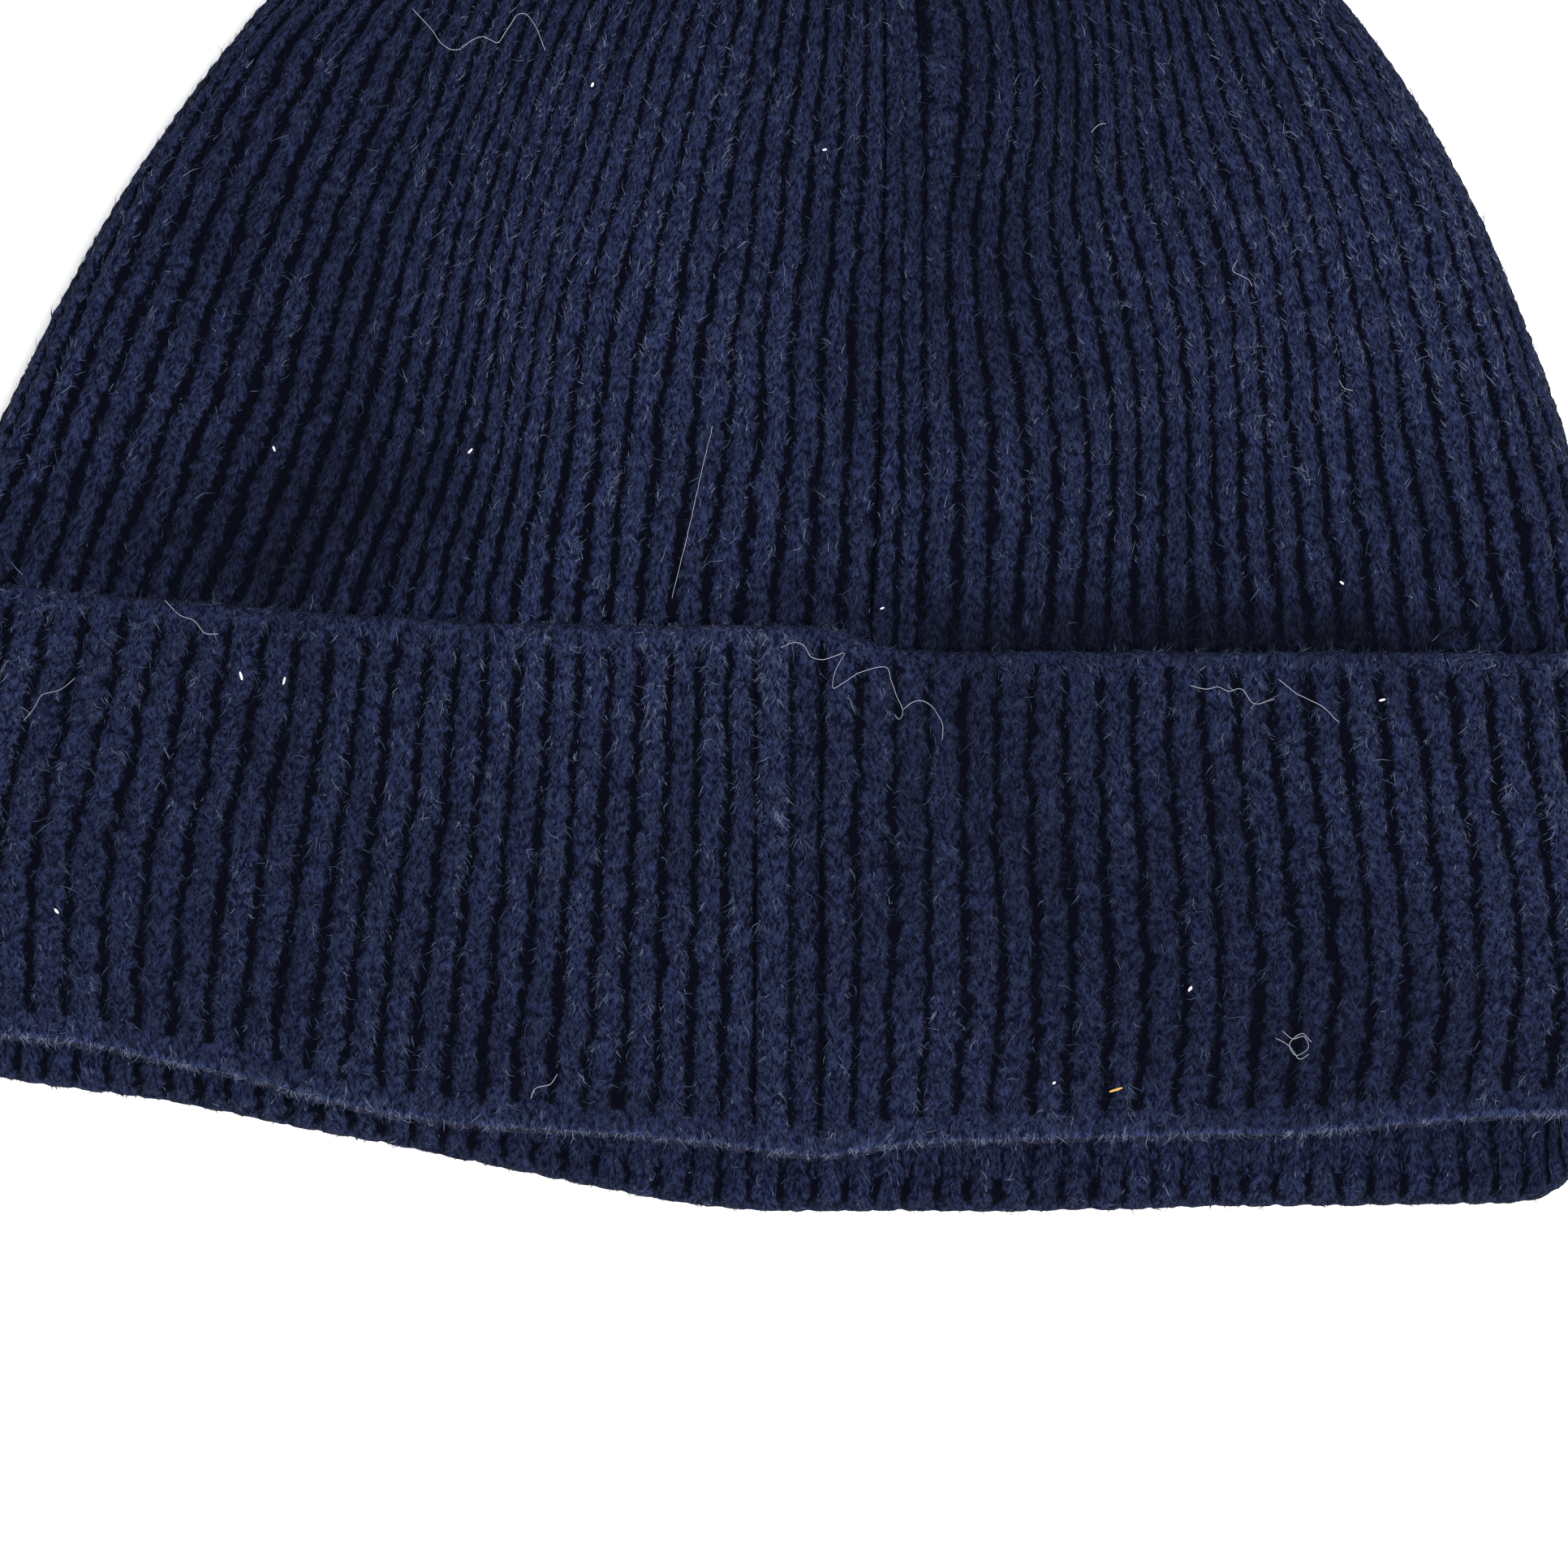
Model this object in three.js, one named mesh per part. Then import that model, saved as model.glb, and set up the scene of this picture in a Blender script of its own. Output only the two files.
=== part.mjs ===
// Cuffed rib-knit beanie, lying flat with its back seam facing up.
// Millimetres. X runs across the hat, +Y from the mouth to the crown, +Z up from
// the table. The origin is under the middle of the footprint, on the table.
//
// The hat is one knitted tube. Here it is divided where the real fabric turns or
// is sewn: at the two side folds, at the back seam, at the fold of the cuff and
// at the cast-on edge. The turned-up cuff is a ring around the tube and can be
// drawn down over the mouth.
import * as THREE from 'three';

// ---- driving dimensions ----------------------------------------------------
const KNIT = 3.0; // thickness of one layer of rib knit
const AIR = 0.3; // gap between layers and pieces that touch
const ORIGIN_Y = -30.23; // cuff top edge (y = 0 in the tables below) in the frame

const CUFF_HALF_WIDTH = 111.3;
const CUFF_HEIGHT_Z = 20.6; // the two cuff layers, the tube and the air inside
const CAST_ON_BAND = 4.8; // depth of the smooth welt along the cuff's top edge
const FOLD_DEPTH = 3.3; // depth of the rounded turn at the mouth

const SEAM_WIDTH_CUFF = 5.6;
const SEAM_X_CUFF = 5.1;
const SEAM_WIDTH_BODY = 5.0;
const SEAM_RIDGE = 1.6; // how far the sewn selvedges stand into the hat
const SEAM_SUNK = 0.3;

// half width and sideways lean of the tube above the cuff: [y, half width, centre x]
const BODY_OUTLINE = [
  [-80, 108.0, 0.0],
  [0.6, 108.0, 0.0],
  [4, 107.9, 0.15],
  [8, 107.4, 0.4],
  [16, 105.6, 1.1],
  [26.2, 102.6, 1.9],
  [35.2, 99.5, 2.3],
  [44.3, 96.0, 2.5],
  [53.5, 92.1, 2.85],
  [62.7, 87.8, 3.2],
  [72.1, 82.4, 3.5],
  [81.5, 76.8, 3.6],
  [90, 70.5, 3.7],
  [98, 64.0, 3.8],
  [106, 56.5, 3.8],
  [113, 48.6, 3.8],
  [119, 40.2, 3.8],
  [124, 31.6, 3.8],
  [128.4, 20.5, 3.8],
];
// underside and top of the tube: [y, underside z, top z]
const BODY_HEIGHT = [
  [-80, 3.3, 17.3],
  [0.6, 3.3, 17.3],
  [4, 1.3, 17.9],
  [8, 0.0, 18.3],
  [26.2, 0.0, 18.8],
  [62.7, 0.0, 18.0],
  [90, 0.0, 16.6],
  [106, 0.0, 15.0],
  [119, 0.0, 13.2],
  [128.4, 0.0, 11.4],
];
// the fold at the mouth, upper side and lower side: [x / half width, y]
const FOLD_UPPER = [
  [-1, -56.0],
  [-0.84, -57.9],
  [-0.62, -60.7],
  [-0.5, -63.7],
  [-0.31, -66.8],
  [-0.04, -67.6],
  [0.08, -68.6],
  [0.22, -65.9],
  [0.55, -63.4],
  [0.67, -61.9],
  [0.84, -59.6],
  [1, -57.5],
];
const FOLD_LOWER = [
  [-1, -56.0],
  [-0.85, -59.1],
  [-0.67, -60.7],
  [-0.57, -62.5],
  [-0.39, -65.6],
  [-0.2, -69.1],
  [0, -71.9],
  [0.26, -70.6],
  [0.54, -68.4],
  [0.82, -66.2],
  [0.92, -63.5],
  [1, -57.5],
];
// where the back seam runs on the tube: [y, share of the half width]
const BODY_SEAM = [
  [-70, 0.072],
  [0, 0.15],
  [36, 0.134],
  [128.4, 0.134],
];

const LABEL = { width: 21, depth: 20, ply: 0.35, y: -38, top: 14.0 };

// ---- helpers ---------------------------------------------------------------
function table(rows, t, column = 1) {
  if (t <= rows[0][0]) return rows[0][column];
  for (let i = 1; i < rows.length; i++) {
    if (t <= rows[i][0]) {
      const a = rows[i - 1];
      const b = rows[i];
      return a[column] + ((b[column] - a[column]) * (t - a[0])) / (b[0] - a[0]);
    }
  }
  return rows[rows.length - 1][column];
}

// the outer section of the tube, or of the cuff ring, at y
function bodySection(y) {
  const low = table(BODY_HEIGHT, y, 1);
  const high = table(BODY_HEIGHT, y, 2);
  return {
    w: table(BODY_OUTLINE, y, 1),
    cx: table(BODY_OUTLINE, y, 2),
    h: (high - low) / 2,
    zc: (high + low) / 2,
  };
}
function cuffSection() {
  const h = CUFF_HEIGHT_Z / 2;
  return { w: CUFF_HALF_WIDTH, cx: 0, h, zc: h };
}

// a point of a section, `inset` in from its outer surface. `at` is a place along
// the upper or the lower half: an angle on a side fold, a share of the flat from
// -1 to 1, or the edge of the panel, whose x is given.
function sectionPoint(section, at, inset, upper, edgeX) {
  const { w, cx, h, zc } = section;
  const flat = w - h;
  const r = h - inset;
  const up = upper ? 1 : -1;
  if (at.edge) return [edgeX, zc + up * r];
  if (at.angle === undefined) return [cx + flat * at.share, zc + up * r];
  const side = at.side;
  if (at.angle > 89) {
    const dz = AIR / 2;
    return [cx + side * (flat + Math.sqrt(r * r - dz * dz)), zc + up * dz];
  }
  const a = (at.angle * Math.PI) / 180;
  return [cx + side * (flat + r * Math.sin(a)), zc + up * r * Math.cos(a)];
}

// places along a half, from fold to fold, or from a fold to the edge at the seam
const SHARES = [-1, -0.8, -0.6, -0.4, -0.2, -0.03, 0.08, 0.25, 0.4, 0.6, 0.8, 1];
const LEFT_FOLD = [90, 67, 45, 22].map((angle) => ({ angle, side: -1 }));
const RIGHT_FOLD = [22, 45, 67, 90].map((angle) => ({ angle, side: 1 }));
const ALL_PLACES = [...LEFT_FOLD, ...SHARES.map((share) => ({ share })), ...RIGHT_FOLD];
const LEFT_PLACES = [
  ...LEFT_FOLD,
  ...SHARES.filter((t) => t < 0).map((share) => ({ share })),
  { edge: true },
];
const RIGHT_PLACES = [
  { edge: true },
  ...SHARES.filter((t) => t > 0.2).map((share) => ({ share })),
  ...RIGHT_FOLD,
];

function signedVolume(p, index) {
  let v = 0;
  for (let i = 0; i < index.length; i += 3) {
    const [a, b, c] = [p[index[i]], p[index[i + 1]], p[index[i + 2]]];
    v +=
      a[0] * (b[1] * c[2] - b[2] * c[1]) -
      a[1] * (b[0] * c[2] - b[2] * c[0]) +
      a[2] * (b[0] * c[1] - b[1] * c[0]);
  }
  return v / 6;
}
function geometryOf(points, index) {
  if (signedVolume(points, index) < 0) {
    for (let i = 0; i < index.length; i += 3) {
      [index[i], index[i + 1]] = [index[i + 1], index[i]];
    }
  }
  const g = new THREE.BufferGeometry();
  g.setAttribute('position', new THREE.Float32BufferAttribute(points.flat(), 3));
  g.setIndex(index);
  g.computeVertexNormals();
  return g;
}

// a closed sheet: an outer and an inner skin over an (ns + 1) x (nt + 1) grid,
// with walls all round
function sheet(ns, nt, point) {
  const points = [];
  const index = [];
  const id = (k, i, j) => k * (ns + 1) * (nt + 1) + j * (ns + 1) + i;
  for (let k = 0; k < 2; k++)
    for (let j = 0; j <= nt; j++) for (let i = 0; i <= ns; i++) points.push(point(i, j, k));
  const quad = (a, b, c, d) => index.push(a, b, c, a, c, d);
  for (let j = 0; j < nt; j++)
    for (let i = 0; i < ns; i++) {
      quad(id(0, i, j), id(0, i + 1, j), id(0, i + 1, j + 1), id(0, i, j + 1));
      quad(id(1, i, j), id(1, i, j + 1), id(1, i + 1, j + 1), id(1, i + 1, j));
    }
  for (let i = 0; i < ns; i++) {
    quad(id(1, i, 0), id(1, i + 1, 0), id(0, i + 1, 0), id(0, i, 0));
    quad(id(0, i, nt), id(0, i + 1, nt), id(1, i + 1, nt), id(1, i, nt));
  }
  for (let j = 0; j < nt; j++) {
    quad(id(0, 0, j), id(0, 0, j + 1), id(1, 0, j + 1), id(1, 0, j));
    quad(id(1, ns, j), id(1, ns, j + 1), id(0, ns, j + 1), id(0, ns, j));
  }
  return geometryOf(points, index);
}

// a closed bar: a ring of profile points at each of n places, with flat ends
function bar(n, m, point) {
  const points = [];
  const index = [];
  for (let i = 0; i < n; i++) for (let k = 0; k < m; k++) points.push(point(i, k));
  for (let i = 0; i + 1 < n; i++)
    for (let k = 0; k < m; k++) {
      const a = i * m + k;
      const b = i * m + ((k + 1) % m);
      index.push(a, b, b + m, a, b + m, a + m);
    }
  for (let k = 1; k + 1 < m; k++) {
    index.push(0, k + 1, k);
    const e = (n - 1) * m;
    index.push(e, e + k, e + k + 1);
  }
  return geometryOf(points, index);
}

// y of the turn at the mouth: straight between the shares, so that neighbours meet
const FOLD_FLAT = CUFF_HALF_WIDTH - CUFF_HEIGHT_Z / 2;
const FOLD_ROWS = [true, false].map((upper) =>
  SHARES.map((t) => [
    t * FOLD_FLAT,
    table(upper ? FOLD_UPPER : FOLD_LOWER, (t * FOLD_FLAT) / CUFF_HALF_WIDTH),
  ]),
);
function foldAt(x, upper, at = {}) {
  const flat = table(FOLD_ROWS[upper ? 0 : 1], x);
  if (at.angle === undefined) return flat;
  const side = table(FOLD_UPPER, at.side);
  return flat + ((side - flat) * at.angle) / 90;
}

// ---- materials -------------------------------------------------------------
const knit = (color) => new THREE.MeshStandardMaterial({ color, roughness: 0.95, metalness: 0 });
const NAVY = 0x1f253a;
const NAVY_SEAM = 0x232941;
const NAVY_EDGE = 0x1b2136;
const LABEL_WHITE = 0xd9dade;

const beanie = new THREE.Group();
function add(name, geometry, material) {
  const mesh = new THREE.Mesh(geometry, material);
  mesh.name = name;
  mesh.position.y = ORIGIN_Y;
  beanie.add(mesh);
}

// ---- the tube: crown and inner band ----------------------------------------
const STATIONS = [
  null, -44, -22, 0.6, 4, 8, 16, 26.2, 35.2, 44.3, 53.5, 62.7, 72.1, 81.5, 90, 98, 106, 113, 119,
  124, 128.4,
];
const seamHalf = (y) => Math.max(1.2, (SEAM_WIDTH_BODY / 2) * (bodySection(y).w / 108));
const seamX = (y) => bodySection(y).cx + table(BODY_SEAM, y) * bodySection(y).w;

function tubePanel(list, upper, edgeX) {
  return sheet(list.length - 1, STATIONS.length - 1, (i, j, k) => {
    let y = STATIONS[j];
    if (y === null) {
      // the end that meets the turn of the cuff, just inside the mouth
      const [x] = sectionPoint(bodySection(-60), list[i], 0, upper, edgeX(-60));
      y = foldAt(x, upper, list[i]) + FOLD_DEPTH + AIR;
    }
    const [x, z] = sectionPoint(bodySection(y), list[i], k * KNIT, upper, edgeX(y));
    return [x, y, z];
  });
}

add(
  'body_back_left',
  tubePanel(LEFT_PLACES, true, (y) => seamX(y) - seamHalf(y) - AIR),
  knit(NAVY),
);
add(
  'body_back_right',
  tubePanel(RIGHT_PLACES, true, (y) => seamX(y) + seamHalf(y) + AIR),
  knit(NAVY),
);
add('body_front', tubePanel(ALL_PLACES, false, () => 0), knit(NAVY));
add(
  'body_back_seam',
  sheet(2, STATIONS.length - 1, (i, j, k) => {
    const yEnd = foldAt(seamX(-60), true) + FOLD_DEPTH + AIR + 0.4;
    const y = STATIONS[j] === null ? yEnd : STATIONS[j];
    const s = bodySection(y);
    const x = seamX(y) + (i - 1) * seamHalf(y);
    const crown = i === 1 ? 0.3 : 0;
    const inset = k === 0 ? SEAM_SUNK - crown : KNIT + SEAM_RIDGE * (i === 1 ? 1 : 0.6);
    return [x, y, s.zc + s.h - inset];
  }),
  knit(NAVY_SEAM),
);

// the gathered end of the crown: a small domed rosette that closes the tube
const GATHER = [
  [128.8, 19.6, 5.3],
  [130.0, 14.6, 4.9],
  [131.2, 8.8, 3.8],
  [132.0, 4.2, 2.2],
];
add(
  'crown_gather',
  bar(GATHER.length, 16, (i, k) => {
    const [y, w, h] = GATHER[i];
    const a = (2 * Math.PI * k) / 16;
    return [3.8 + w * Math.cos(a), y, 5.8 + h * Math.sin(a)];
  }),
  knit(NAVY_SEAM),
);

// ---- the turned-up cuff ------------------------------------------------------
const CUFF_ROWS = 4;
const cuffTop = -CAST_ON_BAND - AIR;
function cuffPanel(list, upper, edgeX) {
  return sheet(list.length - 1, CUFF_ROWS, (i, j, k) => {
    const [x, z] = sectionPoint(cuffSection(), list[i], k * KNIT, upper, edgeX);
    const y0 = foldAt(x, upper, list[i]) + FOLD_DEPTH + AIR;
    return [x, y0 + ((cuffTop - y0) * j) / CUFF_ROWS, z];
  });
}
add(
  'cuff_back_left',
  cuffPanel(LEFT_PLACES, true, SEAM_X_CUFF - SEAM_WIDTH_CUFF / 2 - AIR),
  knit(NAVY),
);
add(
  'cuff_back_right',
  cuffPanel(RIGHT_PLACES, true, SEAM_X_CUFF + SEAM_WIDTH_CUFF / 2 + AIR),
  knit(NAVY),
);
add('cuff_front', cuffPanel(ALL_PLACES, false, 0), knit(NAVY));
add(
  'cuff_back_seam',
  sheet(3, 3, (i, j, k) => {
    const x = SEAM_X_CUFF + (i / 3 - 0.5) * SEAM_WIDTH_CUFF;
    const y0 = foldAt(x, true) + FOLD_DEPTH + AIR;
    const y = y0 + ((cuffTop - y0) * j) / 3;
    const proud = i === 1 || i === 2 ? 0.5 : 0.1;
    return [x, y, k === 0 ? CUFF_HEIGHT_Z + proud : CUFF_HEIGHT_Z - KNIT];
  }),
  knit(NAVY_SEAM),
);

// the rounded turn at the mouth that joins the cuff to the tube
const TURN = 2 * KNIT + AIR;
const TURN_PROFILE = [
  [0, FOLD_DEPTH],
  [0.35, 1.7],
  [1.4, 0.5],
  [TURN / 2, 0],
  [TURN - 1.4, 0.5],
  [TURN - 0.35, 1.7],
  [TURN, FOLD_DEPTH],
];
// the rounded welt along the cast-on edge
const WELT_PROFILE = [
  [0.5, 0],
  [0, -1.0],
  [0, -CAST_ON_BAND],
  [KNIT, -CAST_ON_BAND],
  [KNIT, -1.0],
  [KNIT - 0.5, 0],
];
for (const [side, upper] of [
  ['back', true],
  ['front', false],
]) {
  add(
    `cuff_fold_edge_${side}`,
    bar(ALL_PLACES.length, TURN_PROFILE.length, (i, k) => {
      const [inset, dy] = TURN_PROFILE[k];
      const [x, z] = sectionPoint(cuffSection(), ALL_PLACES[i], inset, upper);
      return [x, foldAt(x, upper, ALL_PLACES[i]) + dy, z];
    }),
    knit(NAVY_EDGE),
  );
  add(
    `cuff_cast_on_edge_${side}`,
    bar(ALL_PLACES.length, WELT_PROFILE.length, (i, k) => {
      const [inset, dy] = WELT_PROFILE[k];
      const [x, z] = sectionPoint(cuffSection(), ALL_PLACES[i], inset, upper);
      return [x, dy, z];
    }),
    knit(NAVY_EDGE),
  );
}

// ---- the care label, folded double and caught in the back seam ---------------
{
  const { width, depth, ply, y, top } = LABEL;
  const x0 = seamX(y + depth / 2) + seamHalf(y) + 2 * AIR;
  const t = 2 * ply + AIR;
  const shape = new THREE.Shape();
  shape.moveTo(x0, top);
  shape.lineTo(x0 + width - t / 2, top);
  shape.absarc(x0 + width - t / 2, top - t / 2, t / 2, Math.PI / 2, -Math.PI / 2, true);
  shape.lineTo(x0, top - t);
  shape.lineTo(x0, top - t + ply);
  shape.lineTo(x0 + width - t / 2, top - t + ply);
  shape.absarc(x0 + width - t / 2, top - t / 2, t / 2 - ply, -Math.PI / 2, Math.PI / 2, false);
  shape.lineTo(x0, top - ply);
  shape.closePath();
  const g = new THREE.ExtrudeGeometry(shape, { depth, bevelEnabled: false, curveSegments: 4 });
  // the outline is drawn in x and z: turn the extrusion to run along y
  g.rotateX(Math.PI / 2);
  g.translate(0, y + depth / 2, 0);
  add(
    'care_label',
    g,
    new THREE.MeshStandardMaterial({ color: LABEL_WHITE, roughness: 0.6, metalness: 0 }),
  );
}

export default beanie;
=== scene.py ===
# Looks for the cuffed rib-knit beanie. Metres in Blender; the surface code below
# works in millimetres in the same frame and is scaled at the end.
#
# The knit is one height field over the sections of the hat: rib columns and the
# grooves between them, stitches, lumps of yarn, the sewn seam, the smooth welt at
# the cast-on edge and the sharp turn at the mouth.
import math

import bpy
import numpy as np
from mathutils import Matrix, Vector


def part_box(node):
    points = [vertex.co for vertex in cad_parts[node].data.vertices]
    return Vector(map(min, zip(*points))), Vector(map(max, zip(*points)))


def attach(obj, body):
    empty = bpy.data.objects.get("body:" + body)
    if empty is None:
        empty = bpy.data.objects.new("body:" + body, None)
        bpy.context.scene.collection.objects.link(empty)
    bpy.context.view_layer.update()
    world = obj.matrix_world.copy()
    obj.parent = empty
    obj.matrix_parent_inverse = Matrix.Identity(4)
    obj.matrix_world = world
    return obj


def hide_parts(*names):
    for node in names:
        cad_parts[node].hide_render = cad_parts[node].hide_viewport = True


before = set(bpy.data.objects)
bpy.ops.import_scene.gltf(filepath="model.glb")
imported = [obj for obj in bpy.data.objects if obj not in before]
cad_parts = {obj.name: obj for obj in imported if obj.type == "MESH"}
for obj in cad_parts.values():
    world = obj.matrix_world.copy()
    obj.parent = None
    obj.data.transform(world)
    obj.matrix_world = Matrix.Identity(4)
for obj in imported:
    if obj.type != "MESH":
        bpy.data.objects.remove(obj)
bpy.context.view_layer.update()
MM = 1000.0
rng = np.random.RandomState(20417)

# ------------------------------------------------------------------ dimensions
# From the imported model: where the cuff and the crown are.
_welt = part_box("cuff_cast_on_edge_back")
_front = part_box("cuff_front")
_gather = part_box("crown_gather")
_cuff_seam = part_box("cuff_back_seam")
TOP_Y = _welt[1][1] * MM  # y of the cuff's free edge: y = 0 in the tables
CUFF_W = _welt[1][0] * MM  # half width of the cuff
CUFF_H = _welt[1][2] * MM / 2.0  # half height of the cuff ring
CROWN_Y = _gather[1][1] * MM - TOP_Y  # top of the crown above the cuff's edge
LAYER = 3.0
AIR = 0.3
TURN = 2 * LAYER + AIR  # thickness of the turned-up edge
CUFF_FLAT = CUFF_W - CUFF_H

# tube: y above the cuff's edge, half width, lean, underside z, top z
TUBE = np.array([
    [-80, 108.0, 0.0, 3.3, 17.3],
    [-20, 108.0, 0.0, 3.3, 17.3],
    [0.6, 108.0, 0.0, 3.3, 17.3],
    [4, 107.9, 0.15, 1.3, 17.9],
    [8, 107.4, 0.4, 0.0, 18.3],
    [16, 105.6, 1.1, 0.0, 18.6],
    [26.2, 102.6, 1.9, 0.0, 18.8],
    [35.2, 99.5, 2.3, 0.0, 18.7],
    [44.3, 96.0, 2.5, 0.0, 18.5],
    [53.5, 92.1, 2.85, 0.0, 18.3],
    [62.7, 87.8, 3.2, 0.0, 18.0],
    [72.1, 82.4, 3.5, 0.0, 17.6],
    [81.5, 76.8, 3.6, 0.0, 17.1],
    [90, 70.5, 3.7, 0.0, 16.6],
    [98, 64.0, 3.8, 0.0, 15.8],
    [106, 56.5, 3.8, 0.0, 15.0],
    [113, 48.6, 3.8, 0.0, 14.1],
    [119, 40.2, 3.8, 0.0, 13.2],
    [124, 31.6, 3.8, 0.0, 12.3],
    [127.5, 23.0, 3.8, 0.2, 11.5],
    [130.0, 15.0, 3.8, 0.8, 10.8],
    [131.6, 8.6, 3.8, 1.6, 10.0],
    [132.0, 5.6, 3.8, 2.2, 9.4],
])
# the turn at the mouth: x, y on the upper side and on the lower side
FOLD_UP = np.array([
    [-111.3, -55.0], [-103, -56.6], [-93.9, -57.9], [-82.5, -58.5], [-75.6, -59.8], [-69.9, -60.7],
    [-64.1, -61.7], [-56.2, -63.7], [-47.0, -65.6], [-41.3, -66.1], [-34.4, -66.7], [-28.7, -66.7],
    [-15, -67.1], [-4.6, -67.5], [2.2, -68.3], [8.2, -68.7], [13.6, -67.5], [18.0, -66.6],
    [24.8, -65.9], [42, -64.6], [60.2, -63.4], [65.9, -63.1], [71.6, -62.6], [74.9, -61.9],
    [84.0, -60.8], [89.6, -60.0], [94.6, -59.4], [103.0, -58.8], [111.3, -57.5],
])
FOLD_DOWN = np.array([
    [-111.3, -55.6], [-95.5, -59.7], [-85.0, -60.7], [-74.6, -61.3], [-64.1, -63.1],
    [-53.7, -64.8], [-43.2, -66.2], [-32.8, -67.9], [-22.3, -69.7], [-11.9, -71.4],
    [-1.5, -72.4], [8.8, -72.2], [19.1, -71.5], [29.5, -71.3], [39.8, -70.5], [50.1, -69.9],
    [60.4, -69.1], [70.8, -68.5], [81.1, -68.0], [91.4, -67.3], [99.0, -67.0], [104.0, -66.1],
    [108.0, -63.8], [111.3, -58.5],
])
# the cuff's free edge wanders a little, with a step at the seam
WELT_UP = np.array([
    [-111.3, 1.6], [-98.1, 1.0], [-82.5, 0.3], [-67.0, -0.3], [-51.4, -0.8], [-35.9, -1.0],
    [-15.2, -0.5], [0.0, 0.3], [5.5, 0.6], [9.5, 0.4], [13.0, -1.0], [18.0, -2.1], [24.0, -2.0],
    [36.6, -1.4], [67.6, 0.0], [102.0, 1.5], [111.3, 1.6],
])
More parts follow.
